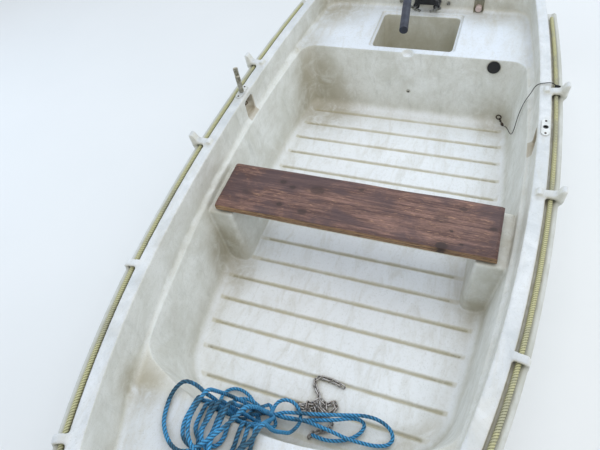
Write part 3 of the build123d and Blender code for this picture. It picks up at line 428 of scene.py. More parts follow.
# columns: place, reach and strength of a dirty patch
for spot, reach, strength in (((-0.02, -0.47, 0.13), 0.13, 0.75), ((0.03, -0.43, 0.05), 0.12, 0.5),
                              ((0.60, -0.41, 0.34), 0.10, 0.65), ((-1.0, -0.40, 0.04), 0.28, 0.7),
                              ((-1.06, -0.47, 0.2), 0.2, 0.6), ((-1.36, -0.40, 0.36), 0.2, 0.55),
                              ((-1.40, 0.30, 0.36), 0.16, 0.4), ((-0.06, 0.46, 0.06), 0.1, 0.45),
                              ((-1.02, 0.40, 0.05), 0.16, 0.4), ((0.45, 0.36, 0.05), 0.16, 0.35)):
    p.cover(srgb(160, 152, 128), p.near(spot, reach), patchy_dirt_and_shade(0.25, 1.0, 0.3, 0.6), strength)
# Inside the locker, the rowlocks' recesses and the bung's recess: darker khaki, dirt with painted shade; and
# the scum at the waterline
locker = p.times(p.between(along, -1.39, -1.112), p.span(across, 0.184, 0.188, 1.0, 0.0),
                 p.span(level, 0.300, 0.306, 1.0, 0.0), p.span(level, 0.09, 0.1))
p.cover(srgb(186, 182, 164), locker, patchy_dirt_and_shade(0.4, 0.8))
recess = p.times(p.between(along, -0.602, -0.530), p.between(across, 0.526, 0.583),
                 p.between(level, 0.318, 0.398))
p.cover(srgb(168, 156, 132), recess, patchy_dirt_and_shade(0.4, 0.8))
pocket = p.times(p.between(along, -1.5, -1.40), p.between(p.axis(1), 0.224, 0.268),
                 p.between(level, 0.318, 0.378))
p.cover(srgb(122, 120, 98), pocket, patchy_dirt_and_shade(0.5, 0.95))
scum = p.times(p.span(level, 0.005, 0.05, 1.0, 0.0), p.span(facing, -0.25, -0.06, 1.0, 0.0))
p.cover(srgb(132, 134, 104), scum, patchy_dirt_and_shade(0.45, 0.9))
p.colour(p.base)
p.rough(p.span(blotches, 0.3, 0.8, 0.38, 0.6))
p.relief(p.sum("ADD", p.times(p.noise(420, 3, 0.6), 0.5), p.times(p.noise(60, 4), 0.8)), 0.22, 0.0012)

# The thwart's weathered wood
wood_paint = Paint("weathered_thwart_wood", 0.62)
p = wood_paint
grain_place = p.stretch((34, 1.6, 34))
fibres = p.noise(9, 8, 0.72, 0.8, grain_place)
bands = p.noise(1.6, 5, 0.6, 1.2, grain_place)
dashes = p.noise(5, 7, 0.75, 0.4, p.stretch((52, 6.5, 52)))
patches = p.noise(5, 7, 0.7, 0.6, p.stretch((1.4, 0.8, 1.4)))
specks = p.noise(80, 4, 0.7, 0.5, p.stretch((4, 0.5, 4)))
# Brown with a purple cast, partly a painted bluish sheen
p.base = p.mix(p.span(bands, 0.35, 0.65), srgb(84, 56, 52), srgb(144, 110, 100))
p.base = p.mix(p.span(fibres, 0.38, 0.62), p.mix(0.65, p.base, srgb(58, 40, 36)), p.base)
p.cover(srgb(184, 144, 116), p.span(dashes, 0.52, 0.66), p.span(patches, 0.35, 0.6, 0.9, 0.3))
p.cover(srgb(70, 54, 58), p.span(patches, 0.44, 0.62), 0.75)
p.cover(srgb(38, 26, 22), p.span(specks, 0.6, 0.75), 0.55)
# The forward edge is paler, with a thin dark line along it
front = p.span(p.normal_part(0), 0.5, 0.9)
p.cover(p.mix(p.span(fibres, 0.4, 0.6), srgb(96, 70, 48), srgb(190, 152, 108)), front, 0.75)
dark_line_level = p.sum("ADD", p.axis(2), p.times(p.noise(6, 3), 0.01))
p.cover(srgb(30, 22, 18), p.between(dark_line_level, 0.3235, 0.3250, 0.0008), front, 0.85)
# columns: x, y, radius of a knot, how dark it is
for x, y, radius, dark in (
        (-0.078, 0.317, 0.017, 1.0), (-0.211, -0.140, 0.024, 0.6), (-0.223, -0.275, 0.011, 0.8),
        (-0.206, -0.232, 0.011, 0.8), (-0.121, -0.253, 0.010, 0.8), (-0.107, -0.162, 0.015, 0.7),
        (-0.181, 0.300, 0.020, 0.35), (-0.140, 0.338, 0.005, 0.9), (-0.095, 0.376, 0.005, 0.9),
        (-0.238, 0.360, 0.012, 0.6), (-0.177, 0.463, 0.010, 0.8), (-0.245, 0.012, 0.009, 0.6),
        (-0.152, -0.390, 0.018, 0.35)):
    spread = p.times(p.sum("SUBTRACT", p.noise(90, 3), 0.5), 0.008)
    fore = p.sum("POWER", p.times(p.sum("SUBTRACT", p.axis(0), x), 1.25), 2.0)
    aside = p.sum("POWER", p.times(p.sum("SUBTRACT", p.axis(1), y), 0.85), 2.0)
    away = p.sum("ADD", spread, p.sum("SQRT", p.sum("ADD", fore, aside)))
    p.cover(srgb(30, 20, 20), p.span(away, radius * 0.7, radius * 1.2, 0.92 * dark, 0.0))
    p.cover(srgb(60, 40, 38), p.span(away, radius * 1.1, radius * 2.4, 0.4 * dark, 0.0))
p.colour(p.base)
p.rough(p.span(fibres, 0.3, 0.8, 0.7, 0.5))
p.relief(p.sum("ADD", fibres, p.times(bands, 1.5)), 0.5, 0.0012)


def rope_paint(name, light, dark, dirt, dirty, hollow_end, shade):
    """Laid rope: fibres from dark to light, dirty stretches, and shade in the hollows between the strands."""
    paint = Paint(name, 0.75)
    paint.base = paint.mix(paint.span(paint.noise(900, 4, 0.7), 0.3, 0.7), dark, light)
    paint.cover(dirt, paint.span(paint.noise(9, 4, 0.6), 0.47, 0.6, 0.0, dirty))
    hollow = paint.span(paint.stored("lay"), 0.25, hollow_end, 0.92, 0.0)
    paint.cover(tuple(shade * value for value in dark), hollow)
    paint.colour(paint.base)
    paint.relief(paint.noise(1400, 3, 0.7), 0.6, 0.0006)
    return paint


blue_rope_paint = rope_paint("blue_rope", srgb(92, 192, 242), srgb(10, 90, 156), srgb(42, 76, 90),
                             0.85, 0.94, 0.08)
grab_rope_paint = rope_paint("faded_yellow_rope", srgb(208, 206, 168), srgb(168, 166, 116),
                             srgb(160, 160, 146), 0.6, 0.8, 0.2)


def plastic(name, light, dark, roughness, edge=0.001, relief=0.2):
    paint = Paint(name, roughness)
    paint.base = paint.mix(paint.span(paint.noise(22, 6, 0.7), 0.35, 0.7), dark, light)
    paint.colour(paint.base)
    paint.rough(paint.span(paint.noise(45, 5), 0.3, 0.7, roughness - 0.08, roughness + 0.12))
    paint.relief(paint.noise(700, 3), relief, 0.0006, edge)
    return paint


def metal(name, light, dark, roughness):
    paint = Paint(name, roughness, 1.0)
    paint.colour(paint.mix(paint.span(paint.noise(60, 7, 0.7), 0.35, 0.7), dark, light))
    paint.rough(paint.span(paint.noise(120, 5), 0.3, 0.7, roughness - 0.1, roughness + 0.15))
    paint.relief(paint.noise(500, 4, 0.7), 0.3, 0.0005, 0.0008)
    return paint


socket_paint = plastic("white_socket_plastic", srgb(226, 229, 230), srgb(196, 200, 198), 0.4)
black_paint = plastic("black_plastic", srgb(34, 34, 36), srgb(20, 20, 22), 0.45)
bung_paint = plastic("pale_bung_plastic", srgb(214, 196, 192), srgb(186, 168, 162), 0.45)
motor_paint = plastic("dark_motor_paint", srgb(40, 43, 48), srgb(24, 26, 30), 0.38)
tiller_paint = plastic("navy_tiller_rubber", srgb(40, 48, 66), srgb(24, 30, 46), 0.5)
cowl_paint = plastic("dark_cowl_plastic", srgb(52, 56, 62), srgb(34, 37, 42), 0.32)
cord_paint = plastic("black_cord", srgb(38, 38, 40), srgb(18, 18, 20), 0.8, 0.0, 0.8)
rowlock_paint = metal("dull_bronze", srgb(196, 194, 182), srgb(128, 124, 106), 0.4)
steel_paint = metal("stainless_steel", srgb(200, 202, 204), srgb(150, 152, 154), 0.28)
engine_paint = metal("cast_engine", srgb(120, 122, 124), srgb(80, 82, 84), 0.5)
propeller_paint = metal("propeller_aluminium", srgb(186, 188, 190), srgb(140, 142, 146), 0.35)
chain_paint = metal("galvanised_chain", srgb(206, 206, 208), srgb(132, 124, 118), 0.38)
hook_paint = metal("dark_bronze", srgb(92, 82, 74), srgb(40, 36, 34), 0.5)
rusty_paint = metal("rusty_ring", srgb(96, 78, 64), srgb(48, 38, 32), 0.6)

# The sockets' bores are painted dark, a painted shade in the holes, and the drain is a pale ring round a dark
# screw
socket_x = -0.5655
for side in (1, -1):
    bore_shade = socket_paint.near((socket_x, side * 0.567, 0.434), 0.0125)
    socket_paint.cover(srgb(26, 26, 26), socket_paint.span(bore_shade, 0.15, 0.35))
socket_paint.colour(socket_paint.base)
drain_paint = plastic("pale_drain", srgb(176, 172, 160), srgb(148, 144, 130), 0.5)
low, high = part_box("drain_screw")
drain_spot = (high[0], (low[1] + high[1]) / 2, (low[2] + high[2]) / 2)
in_drain = drain_paint.span(drain_paint.near(drain_spot, 0.0075), 0.3, 0.5)
drain_paint.colour(drain_paint.mix(in_drain, srgb(188, 186, 174), srgb(40, 38, 34)))

# Finish of the CAD nodes that keep their own shape
node_paints = {
    "thwart_batten": wood_paint,
    "rowlock_socket_port": socket_paint, "rowlock_socket_starboard": socket_paint,
    "rowlock": rowlock_paint, "rowlock_split_ring": rusty_paint,
    "vent_plug": black_paint, "drain_screw": drain_paint, "transom_bung": bung_paint,
    "motor_pad": black_paint, "motor_pad_bolts": steel_paint,
    "clamp_bracket": motor_paint, "clamp_screws": steel_paint, "tilt_pin": steel_paint,
    "swivel_bracket": motor_paint, "gearcase": motor_paint, "motor_leg": motor_paint,
    "anti_ventilation_plate": motor_paint, "propeller": propeller_paint, "propeller_nut": steel_paint,
    "lower_cowl": cowl_paint, "upper_cowl": cowl_paint, "engine_block": engine_paint,
    "fuel_cap": black_paint, "starter_handle": black_paint,
    "tiller_bracket": motor_paint, "tiller_arm": tiller_paint, "tiller_grip": tiller_paint,
    "bow_eye": steel_paint,
}
for name, paint in node_paints.items():
    data = nodes[name].data
    if not data.materials:
        data.materials.append(paint.material)
    for place in range(len(data.materials)):
        data.materials[place] = paint.material


# Lanyard: the same route as in the CAD source
lanyard_points = [
    (-0.7791, 0.592, 0.424), (-0.797, 0.590, 0.429), (-0.808, 0.572, 0.432), (-0.802, 0.550, 0.432),
    (-0.797, 0.528, 0.429), (-0.799, 0.517, 0.408), (-0.812, 0.514, 0.377), (-0.832, 0.508, 0.340),
    (-0.849, 0.501, 0.300), (-0.857, 0.495, 0.256), (-0.850, 0.490, 0.214), (-0.828, 0.488, 0.180),
    (-0.826, 0.483, 0.146), (-0.856, 0.476, 0.122), (-0.898, 0.468, 0.103), (-0.938, 0.460, 0.082),
    (-0.966, 0.450, 0.062), (-0.977, 0.446, 0.054),
]
lanyard_data = spline("lanyard_line", lanyard_points)
lanyard_data.bevel_depth = 0.0015
lanyard_data.bevel_resolution = 3
lanyard = new_piece("black_lanyard", lanyard_data, "boat", "black_cord", cord_paint, "lanyard")

# Its snap hook: a turned swivel and shank, a large ring for the closed hook and a small one at its foot
hook_start = Vector((-0.977, 0.446, 0.054))
hook_run = Vector((-0.82, -0.50, 0.24)).normalized()
hook_flat = hook_run.cross((0, 0, 1)).normalized()
hook_up = hook_flat.cross(hook_run)
hook_turn = Matrix((hook_flat, hook_up, hook_run)).transposed().to_4x4()
hook_mesh = bmesh.new()
# columns: from and to along the hook, radius at each end
for near, far, near_radius, far_radius in (
        (-0.002, 0.004, 0.0030, 0.0062), (0.004, 0.012, 0.0062, 0.0058), (0.012, 0.015, 0.0058, 0.0028),
        (0.015, 0.023, 0.0028, 0.0028), (0.023, 0.027, 0.0050, 0.0042), (0.027, 0.036, 0.0034, 0.0030)):
    middle = Matrix.Translation(hook_start + hook_run * (near + far) / 2)
    bmesh.ops.create_cone(hook_mesh, cap_ends=True, segments=20, radius1=near_radius, radius2=far_radius,
                          depth=far - near, matrix=middle @ hook_turn)
hook_data = bpy.data.meshes.new("snap_hook_cast")
# columns: a ring's middle along the hook, its reach, how much wider it is, its bar's radius
for middle, reach, wider, bar_radius in ((0.046, 0.0105, 1, 0.0025), (0.0355, 0.0031, 1.5, 0.0018)):
    route = []
    for angle in np.linspace(0, 2 * math.pi, 36, endpoint=False):
        route.append(np.array(hook_start + hook_run * (middle + reach * math.cos(angle))
                              + hook_flat * reach * math.sin(angle) * wider))
    verts, faces = ring_mesh(np.array(route), bar_radius, 10, np.array(hook_up))
    made = [hook_mesh.verts.new(point) for point in verts]
    for face in faces:
        hook_mesh.faces.new([made[k] for k in face])
bmesh.ops.recalc_face_normals(hook_mesh, faces=hook_mesh.faces)
hook_mesh.to_mesh(hook_data)
hook_mesh.free()
hook_data.shade_smooth()
hook = new_piece("snap_hook_cast", hook_data, "boat", "black_plastic", hook_paint, "snap_hook")

# Bow seat: the curved top edge of its aft face, the foot of that face, and how a rope lies over them
floor_top = 0.025
seat_top = 0.318
edge_middle_x = 0.622
edge_radius = 0.9035
foot_middle_x = 0.564
foot_radius = 1.0038
face_length = math.hypot(edge_middle_x - foot_middle_x, seat_top - floor_top)


def edge_x(y):
    return edge_middle_x - edge_radius + math.sqrt(edge_radius**2 - y * y)


def foot_x(y):
    return foot_middle_x - foot_radius + math.sqrt(foot_radius**2 - y * y)


def on_seat(s, y, lift):
    """A point over floor, face and seat. s is along them from the seat's edge, forward positive."""
    top, foot = edge_x(y), foot_x(y)
    slope = Vector((top - foot, seat_top - floor_top)).normalized()
    face_out = Vector((-slope.y, slope.x))
    if s >= 0:
        place = Vector((top + s, seat_top))
    elif s > -face_length:
        place = Vector((top, seat_top)).lerp(Vector((foot, floor_top)), -s / face_length)
    else:
        place = Vector((foot + s + face_length, floor_top))
    # Straight up on the floor and on the seat, and square to the face between them
    over_top = min(max((s + 0.03) / 0.06, 0), 1)
    past_foot = min(max((s + face_length + 0.035) / 0.07, 0), 1)
    out = Vector((0, 1)).lerp(face_out, past_foot).lerp(Vector((0, 1)), over_top).normalized()
    # A little more where the surface turns
    near_top = max(0, 1 - abs(s) / 0.04)
    near_foot = max(0, 1 - abs(s + face_length) / 0.05)
    spot = place + out * (lift + 0.008 * near_top + 0.009 * near_foot)
    return Vector((spot.x, y, spot.y))


def on_floor(x, y):
    """The same measure, for a point of the floor."""
    return (x - foot_x(y) - face_length, y)


def segment_gap(a, b, c, d):
    """Least distance between two short straight stretches in plan."""
    def reach(p, q, r):
        run = q - p
        share = min(max((r - p).dot(run) / max(run.length_squared, 1e-12), 0), 1)
        return (p + run * share - r).length
    cross = (b - a).cross(d - c)
    if abs(cross) > 1e-12:
        t = (c - a).cross(d - c) / cross
        u = (c - a).cross(b - a) / cross
        if 0 <= t <= 1 and 0 <= u <= 1:
            return 0.0
    return min(reach(a, b, c), reach(a, b, d), reach(c, d, a), reach(c, d, b))


def lifted(plan, thickness, below=()):
    """How high each point lies so that every stretch passes over what was laid before it."""
    lifts = [0.0] * len(plan)
    spots = [Vector(point) for point in plan]
    for here in range(1, len(spots)):
        need = 0.0
        a, b = spots[here - 1], spots[here]
        for c, d, top, half in below:
            if segment_gap(a, b, c, d) < half + thickness / 2:
                need = max(need, top)
        for before in range(1, here - 1):
            c, d = spots[before - 1], spots[before]
            if before < here - 2 and segment_gap(a, b, c, d) < thickness * 0.92:
                need = max(need, max(lifts[before - 1], lifts[before]) + thickness)
        if need:
            lifts[here - 1] = max(lifts[here - 1], need)
            lifts[here] = max(lifts[here], need)
    return lifts


# Chain: a short tail, then a small heap that runs under the rope to the rope's end
chain_plan = [on_floor(x, y) for x, y in (
    (0.345, 0.098), (0.338, 0.078), (0.335, 0.052), (0.333, 0.026), (0.338, 0.002), (0.352, 0.000),
    (0.369, 0.006), (0.386, 0.022), (0.402, 0.036), (0.416, 0.028), (0.428, 0.010), (0.440, -0.010),
    (0.440, -0.030), (0.454, -0.032), (0.458, -0.012), (0.450, 0.010), (0.438, 0.030), (0.424, 0.052),
    (0.412, 0.070), (0.400, 0.086), (0.412, 0.096), (0.430, 0.090), (0.446, 0.074), (0.458, 0.054),
    (0.466, 0.034), (0.476, 0.018), (0.478, 0.040), (0.464, 0.048), (0.446, 0.042), (0.431, 0.028),
    (0.424, 0.010), (0.436, 0.000), (0.452, 0.008), (0.464, 0.026), (0.468, 0.046), (0.456, 0.060),
    (0.438, 0.066), (0.420, 0.062), (0.408, 0.048), (0.418, 0.036), (0.436, 0.044), (0.448, 0.062),
    (0.456, 0.082), (0.470, 0.098),
    (0.486, 0.096), (0.498, 0.078), (0.506, 0.058), (0.516, 0.040), (0.530, 0.040))]
chain_width = 0.0165
link_pitch = 0.0175
link_wire = 0.0048
chain_layer = 0.011
chain_middle = 0.0085
highest_chain = 0.030
chain_lifts = lifted(chain_plan, chain_layer)
chain_points = [on_seat(s, y, chain_middle + min(lift, highest_chain))
                for (s, y), lift in zip(chain_plan, chain_lifts)]
chain_line, chain_length = line_of(spline("chain_line", chain_points, 10), 0.002)
link_count = int(chain_length / link_pitch)
print("chain length", round(chain_length, 3), "links", link_count)

# One link in its own plane: two round ends joined by straight sides
end_radius = (chain_width - link_wire) / 2
straight = link_pitch / 2 - end_radius + link_wire
link_route = []
for angle in np.linspace(0, 2 * math.pi, 20, endpoint=False):
    link_route.append((end_radius * math.cos(angle) + straight * (1 if math.cos(angle) > 0 else -1),
                       end_radius * math.sin(angle)))
link_route = np.array(link_route)
link_tangents = np.roll(link_route, -1, 0) - np.roll(link_route, 1, 0)
wire_radius = link_wire / 2
wire_sides = 8
spots = np.linspace(0, len(chain_line) - 1, link_count + 1)
chain_verts, chain_faces = [], []
for number in range(link_count):
    start = chain_line[int(spots[number])]
    end = chain_line[int(spots[number + 1])]
    centre = (start + end) / 2
    along = (end - start) / np.linalg.norm(end - start)
    flat = np.cross((0, 0, 1.0), along)
    flat /= np.linalg.norm(flat)
    upright = np.cross(along, flat)
    tip = math.radians(42 if number % 2 else -48) + rng.uniform(-0.25, 0.25)
    wide = flat * math.cos(tip) + upright * math.sin(tip)
    thick = np.cross(along, wide)
    first = len(chain_verts)
    for (x, y), (tx, ty) in zip(link_route, link_tangents):
        out_x, out_y = np.array((ty, -tx)) / math.hypot(tx, ty)
        for k in range(wire_sides):
            angle = 2 * math.pi * k / wire_sides
            reach = wire_radius * math.cos(angle)
            chain_verts.append(centre + along * (x + reach * out_x) + wide * (y + reach * out_y)
                               + thick * wire_radius * math.sin(angle))
    for row in range(len(link_route)):
        here = first + row * wire_sides
        after = first + (row + 1) % len(link_route) * wire_sides
        for k in range(wire_sides):
            next_k = (k + 1) % wire_sides
            chain_faces.append((here + k, here + next_k, after + next_k, after + k))
chain = new_piece("galvanised_chain", mesh_from("galvanised_chain", chain_verts, chain_faces), "boat",
                  "chain_steel", chain_paint, "mooring_chain")

# Mooring rope: from the chain along the floor, in long turns over the seat's edge, and on to the large loops
rope_size = 0.012
rope_step = 0.0026
rope_twist = 0.036
highest_lift = 0.052
over_chain = 0.014
chain_half = 0.007
rope_plan = [on_floor(x, y) for x, y in (
    (0.522, 0.046), (0.528, 0.080), (0.520, 0.118), (0.503, 0.157), (0.474, 0.192), (0.446, 0.200),
    (0.437, 0.180), (0.449, 0.150), (0.468, 0.108), (0.480, 0.066), (0.490, 0.022), (0.500, -0.030),
    (0.500, -0.080), (0.492, -0.130), (0.500, -0.170))]
# columns: y at the edge going up, y at the edge coming down, reach on the seat, reach on the floor,
# y of the bight on the floor
for up_y, down_y, seat_reach, floor_reach, bight_y in (
        (-0.205, -0.120, 0.085, 0.060, -0.168), (-0.180, -0.085, 0.120, 0.086, -0.222),
        (-0.236, -0.150, 0.110, 0.056, -0.094), (-0.168, -0.062, 0.100, 0.078, -0.106),
        (-0.130, -0.040, 0.125, 0.064, -0.170)):
    last_y = rope_plan[-1][1]
    # columns: share of the way from the floor to the edge
    for share in (0.10, 0.28, 0.46, 0.64, 0.82, 0.96):
        y = last_y + (up_y - last_y) * share + rng.uniform(-0.006, 0.006)
        rope_plan.append((-face_length * (1 - share), y))
    half = (down_y - up_y) / 2
    # columns: reach on the seat, side
    for reach, side in ((0.28, -1.0), (0.62, -1.08), (0.90, -0.78), (1.0, -0.2), (0.98, 0.35), (0.80, 0.9),
                        (0.5, 1.06), (0.22, 1.0)):
        rope_plan.append((seat_reach * reach + rng.uniform(-0.005, 0.005), up_y + half + half * side))
    start_y = down_y + 0.25 * (bight_y - down_y)
    for share in (0.04, 0.20, 0.38, 0.56, 0.74, 0.92):
        y = down_y + (start_y - down_y) * share + rng.uniform(-0.006, 0.006)
        rope_plan.append((-face_length * share, y))
    # columns: reach on the floor, share of the way to the bight's middle
    for reach, share in ((0.45, 0.15), (0.85, 0.5), (1.0, 0.95), (0.86, 1.35), (0.5, 1.6)):
        rope_plan.append((-face_length - floor_reach * reach, start_y + (bight_y - start_y) * share))

# The big left loop, the arch at the right of the heap, and the large loop on the floor
free_start = len(rope_plan)
# columns: s, y, how far it stands off, for the part that hangs free over the seat's edge
free_rows = (
    (-0.250, -0.232, 0.0), (-0.190, -0.222, 0.0), (-0.130, -0.212, 0.002), (-0.072, -0.203, 0.005),
    (-0.024, -0.200, 0.008), (-0.006, -0.214, 0.010), (-0.012, -0.238, 0.012), (-0.012, -0.264, 0.012),
    (0.0, -0.288, 0.010), (0.016, -0.303, 0.007), (0.038, -0.311, 0.004), (0.062, -0.311, 0.001))
rope_plan += [(s, y) for s, y, stand in free_rows]
rope_plan += [(x - edge_x(y), y) for x, y in (
    (0.660, -0.304), (0.684, -0.290), (0.710, -0.262), (0.727, -0.232), (0.733, -0.200), (0.722, -0.168),
    (0.694, -0.144), (0.658, -0.118), (0.630, -0.090))]
rope_plan += [(-face_length * share, y) for share, y in (
    (0.08, -0.066), (0.26, -0.060), (0.46, -0.064), (0.66, -0.072), (0.86, -0.082))]
rope_plan += [on_floor(x, y) for x, y in (
    (0.500, -0.088), (0.470, -0.084), (0.452, -0.062), (0.452, -0.030), (0.472, -0.004), (0.502, 0.008))]
rope_plan += [(-face_length * share, y) for share, y in (
    (0.90, 0.006), (0.7, 0.000), (0.5, -0.010), (0.3, -0.018), (0.1, -0.020))]
rope_plan += [(0.03, -0.030), (0.072, -0.052), (0.106, -0.094), (0.118, -0.146), (0.100, -0.190),
              (0.060, -0.212), (0.020, -0.208)]
rope_plan += [(-face_length * share, y) for share, y in (
    (0.08, -0.198), (0.26, -0.176), (0.46, -0.150), (0.66, -0.124), (0.86, -0.100))]
rope_plan += [on_floor(x, y) for x, y in (
    (0.510, -0.078), (0.494, -0.056), (0.484, -0.020), (0.476, 0.018), (0.466, 0.058), (0.454, 0.104),
    (0.440, 0.152), (0.428, 0.198), (0.424, 0.240), (0.436, 0.276), (0.460, 0.292), (0.482, 0.280),
    (0.496, 0.244), (0.502, 0.204), (0.506, 0.160), (0.504, 0.116), (0.500, 0.072), (0.498, 0.030),
    (0.500, -0.014), (0.508, -0.060), (0.514, -0.104))]

# One more point wherever the route passes over the seat's edge, and the left loop stands off it
free = [0.0] * len(rope_plan)
free[free_start:free_start + len(free_rows)] = [stand for s, y, stand in free_rows]
for place in range(len(rope_plan) - 1, 0, -1):
    (s, y), (next_s, next_y) = rope_plan[place - 1], rope_plan[place]
    if s * next_s < 0:
        rope_plan.insert(place, (0.0, y + (next_y - y) * s / (s - next_s)))
        free.insert(place, (free[place - 1] + free[place]) / 2)
chain_spots = [Vector(point) for point in chain_plan]
under = [(a, b, max(first, last) + over_chain, chain_half) for a, b, first, last in
         zip(chain_spots, chain_spots[1:], chain_lifts, chain_lifts[1:])]
rope_lifts = lifted(rope_plan, rope_size, under)

# A raised stretch starts and ends gently
raised = [max(rope_lifts[max(k - 1, 0):k + 2]) for k in range(len(rope_lifts))]
eased = []
for k, lift in enumerate(rope_lifts):
    around = raised[max(k - 2, 0):k + 3]
    eased.append(max(lift, sum(around) / len(around)))
heights = [rope_size / 2 + min(lift, highest_lift) for lift in eased]

# A point too near to the face's foot for its height is left out: the rope takes the short way there
least_from_foot = 0.8
rope_points = [on_seat(s, y, height + stand) for (s, y), height, stand in zip(rope_plan, heights, free)
               if abs(s + face_length) > least_from_foot * height]
rope_line, rope_length = line_of(spline("mooring_line", rope_points, 16), rope_step)
print("rope length", rope_length, "highest lift", max(eased), "points", len(rope_line))
rope_data = laid_rope("blue_mooring_rope", rope_line, rope_step, rope_size, rope_twist)
rope = new_piece("blue_mooring_rope", rope_data, "boat", "mooring_rope", blue_rope_paint,
                 "mooring_rope_seat", "mooring_rope_hanging", "mooring_rope_floor")


# Gunwale of the hull, for what lies in its trough: the same arcs as in the CAD source
beam_x = -0.365
half_beam = 0.589
quarter_radius = 7.0
side_arcs = ((0.235, 5.2), (0.735, 2.9), (1.5, 1.9))
sheer_low = 0.425
sheer_start_x = -0.965
sheer_radius = 20.4


def half_breadth(x):
    if x <= beam_x:
        return half_beam - quarter_radius + math.sqrt(quarter_radius**2 - (x - beam_x) ** 2)
    start_x, start_y, lean = beam_x, half_beam, 0.0
    for end_x, radius in side_arcs:
        centre_x = start_x - radius * math.sin(lean)
        centre_y = start_y - radius * math.cos(lean)
        if x <= end_x:
            return centre_y + math.sqrt(radius**2 - (x - centre_x) ** 2)
        lean = math.asin((end_x - centre_x) / radius)
        start_x, start_y = end_x, centre_y + radius * math.cos(lean)
    return 0.0


def sheer(x):
    if x <= sheer_start_x:
        return sheer_low
    return sheer_low + sheer_radius - math.sqrt(sheer_radius**2 - (x - sheer_start_x) ** 2)


def beside_band(x, side, out, drop):
    """A point this far out from the band's edge and below the sheer. Less than 0 is inboard or above."""
    lean = math.atan((half_breadth(x + 0.001) - half_breadth(x - 0.001)) / 0.002)
    return (x - out * math.sin(lean), side * (half_breadth(x) + out * math.cos(lean)), sheer(x) - drop)


# Hull: the moulding with its edges softened, and the bars of its cleats
hull_data = nodes["hull_moulding"].data.copy()
shape = bmesh.new()
shape.from_mesh(hull_data)
cleat_xs = (-0.765, -0.265)
cleat_half_width = 0.007
# columns: how far outboard and above the sheer the bar starts and ends, and its radius there
cleat_bars = ((0.040, -0.014, 0.0125, 0.0455, 0.029, 0.0085),
              (-0.015, 0.000, 0.0100, -0.0215, 0.0095, 0.0068),
              (0.000, 0.002, 0.0085, 0.036, 0.003, 0.0095))
for side in (1, -1):
    for x in cleat_xs:
        for out, up, radius, out_end, up_end, radius_end in cleat_bars:
            bar = bmesh.new()
            for fore in (-cleat_half_width, cleat_half_width):
                for away, rise, size in ((out, up, radius), (out_end, up_end, radius_end)):
                    spot = Vector(beside_band(x, side, away, -rise)) + Vector((fore, 0, 0))
                    bmesh.ops.create_icosphere(bar, subdivisions=2, radius=size,
                                               matrix=Matrix.Translation(spot))
            hull_around = bmesh.ops.convex_hull(bar, input=bar.verts)
            loose = [item for item in hull_around["geom_interior"] if isinstance(item, bmesh.types.BMVert)]
            bmesh.ops.delete(bar, geom=loose, context="VERTS")
            bar_data = bpy.data.meshes.new("cleat_bar")
            bar.to_mesh(bar_data)
            bar.free()
            shape.from_mesh(bar_data)
            bpy.data.meshes.remove(bar_data)
shape.to_mesh(hull_data)
shape.free()
hull = new_piece("hull_shell", hull_data, "boat", "hull_plastic", hull_paint, "hull_moulding")
soften = hull.modifiers.new("remesh", "REMESH")
soften.mode = "VOXEL"
soften.voxel_size = 0.004
smooth = hull.modifiers.new("smooth", "SMOOTH")
smooth.factor = 0.5
smooth.iterations = 2
thin = hull.modifiers.new("decimate", "DECIMATE")
thin.ratio = 0.108
made = bpy.data.meshes.new_from_object(hull.evaluated_get(bpy.context.evaluated_depsgraph_get()))
hull.modifiers.clear()
hull.data = made
made.shade_smooth()
if not made.materials:
    made.materials.append(hull_paint.material)
print("hull triangles", sum(len(face.vertices) - 2 for face in made.polygons))

# Its gunwale's outer lip is greyer than the band
lip = []
for vertex in hull.data.vertices:
    x, y, z = vertex.co
    beyond = abs(y) - half_breadth(x) - 0.018
    lip.append(min(max(beyond / 0.006, 0), 1) if sheer(x) - 0.075 < z < sheer(x) - 0.006 else 0.0)
hull.data.attributes.new("lip", "FLOAT", "POINT").data.foreach_set("value", lip)


# Grab ropes in the trough. Their points are closer together towards the bow, as in the CAD source
grab_size = 0.014
grab_step = 0.002
grab_twist = 0.023
grab_out = 0.016
grab_drop = 0.014
grab_xs = [-1.255 + 0.15 * k for k in range(14)]
grab_xs += [grab_xs[-1] + 0.075 * k for k in range(1, 8)]
for side, word in ((1, "port"), (-1, "starboard")):
    name = "grab_rope_strands_" + word
    points = [beside_band(x, side, grab_out, grab_drop) for x in grab_xs]
    line, length = line_of(spline("grab_line_" + word, points, 30), grab_step)
    strands = laid_rope(name, line, grab_step, grab_size, grab_twist)
    new_piece(name, strands, "boat", "grab_rope", grab_rope_paint, "grab_rope_" + word)
    print(word, "rope", length)

# Cross-headed screws that hold the sockets' plates
screws = bmesh.new()
for side, word in ((1, "port"), (-1, "starboard")):
    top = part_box("rowlock_socket_" + word)[1][2]
    for along in (-0.030, 0.030):
        spot = beside_band(socket_x + along, side, -0.019, 0)
        head = Matrix.Translation((spot[0], spot[1], top - 0.0002))
        bmesh.ops.create_cone(screws, cap_ends=True, segments=20, radius1=0.0042, radius2=0.0028,
                              depth=0.0016, matrix=head @ Matrix.Translation((0, 0, 0.0008)))
        turned = Matrix.Rotation(rng.uniform(0, 3), 4, "Z")
        arm = Matrix.Translation((0, 0, 0.0015)) @ Matrix.Diagonal((0.0042, 0.0008, 0.0006, 1))
        for spin in (0, math.pi / 2):
            bmesh.ops.create_cube(screws, size=1, matrix=head @ turned @ Matrix.Rotation(spin, 4, "Z") @ arm)
screw_data = bpy.data.meshes.new("socket_screws")
screws.to_mesh(screw_data)
screws.free()
new_piece("socket_screws", screw_data, "boat", "steel", rusty_paint)

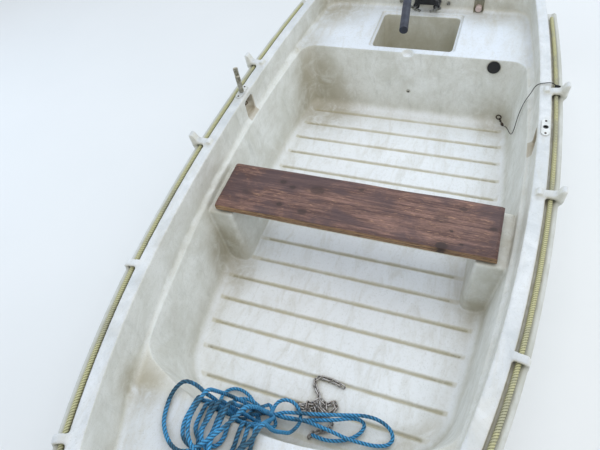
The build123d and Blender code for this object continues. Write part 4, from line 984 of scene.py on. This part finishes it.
# Lanyard's knot at the cleat: turns of cord side by side
knot_turns = 6
knot_verts, knot_faces = [], []
for number in range(knot_turns):
    middle = np.array((-0.7885, 0.5850 + 0.0030 * number, 0.4300 - 0.0004 * number))
    route = []
    for angle in np.linspace(0, 2 * math.pi, 24, endpoint=False):
        route.append(middle + np.array((0.0052 * math.cos(angle), 0.0007 * math.sin(2 * angle + number),
                                        (0.0062 + 0.0008 * math.sin(number)) * math.sin(angle))))
    verts, faces = ring_mesh(np.array(route), 0.0017, 8)
    first = len(knot_verts)
    knot_verts.extend(verts)
    knot_faces.extend(tuple(first + k for k in face) for face in faces)
new_piece("lanyard_knot", mesh_from("lanyard_knot", knot_verts, knot_faces), "boat", "black_cord", cord_paint)

# Thwart: a plank with worn edges and a slightly uneven top
low, high = (Vector(corner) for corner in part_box("thwart_plank"))
size = high - low
plank = bmesh.new()
cells_across, cells_along = 22, 96
chamfer = 0.0012
top_edge = [(k / cells_across, 1) for k in range(cells_across + 1)]
outline = top_edge + [(1, 0.5)] + [(u, 0) for u, w in top_edge[::-1]] + [(0, 0.5)]
rows = []
for i in range(cells_along + 1):
    v = i / cells_along
    ring = []
    worn = 0.0025 + 0.0012 * math.sin(17 * v) * math.sin(5 * v + 1)
    for u, w in outline:
        x = low.x + size.x * u
        y = low.y + size.y * v
        z = low.z + size.z * w
        if w == 1:
            z += 0.0006 * math.sin(9 * u + 16.8 * v) + 0.0005 * math.sin(31 * u + 5.6 * v) - chamfer
            z -= worn * max(0, 1 - min(u, 1 - u) * cells_across)
            z -= worn * max(0, 1 - min(v, 1 - v) * cells_along)
            y += chamfer if i == 0 else -chamfer if i == cells_along else 0
        if w in (0, 1):
            x += chamfer if u == 0 else -chamfer if u == 1 else 0
        ring.append(plank.verts.new((x, y, z)))
    rows.append(ring)
for first, second in zip(rows, rows[1:]):
    count = len(first)
    for k in range(count):
        plank.faces.new((first[k], first[(k + 1) % count], second[(k + 1) % count], second[k]))
plank.faces.new(rows[0][::-1])
plank.faces.new(rows[-1])
bmesh.ops.recalc_face_normals(plank, faces=plank.faces)
plank_data = bpy.data.meshes.new("thwart_board")
plank.to_mesh(plank_data)
plank.free()
new_piece("thwart_board", plank_data, "boat", "thwart_wood", wood_paint, "thwart_plank")
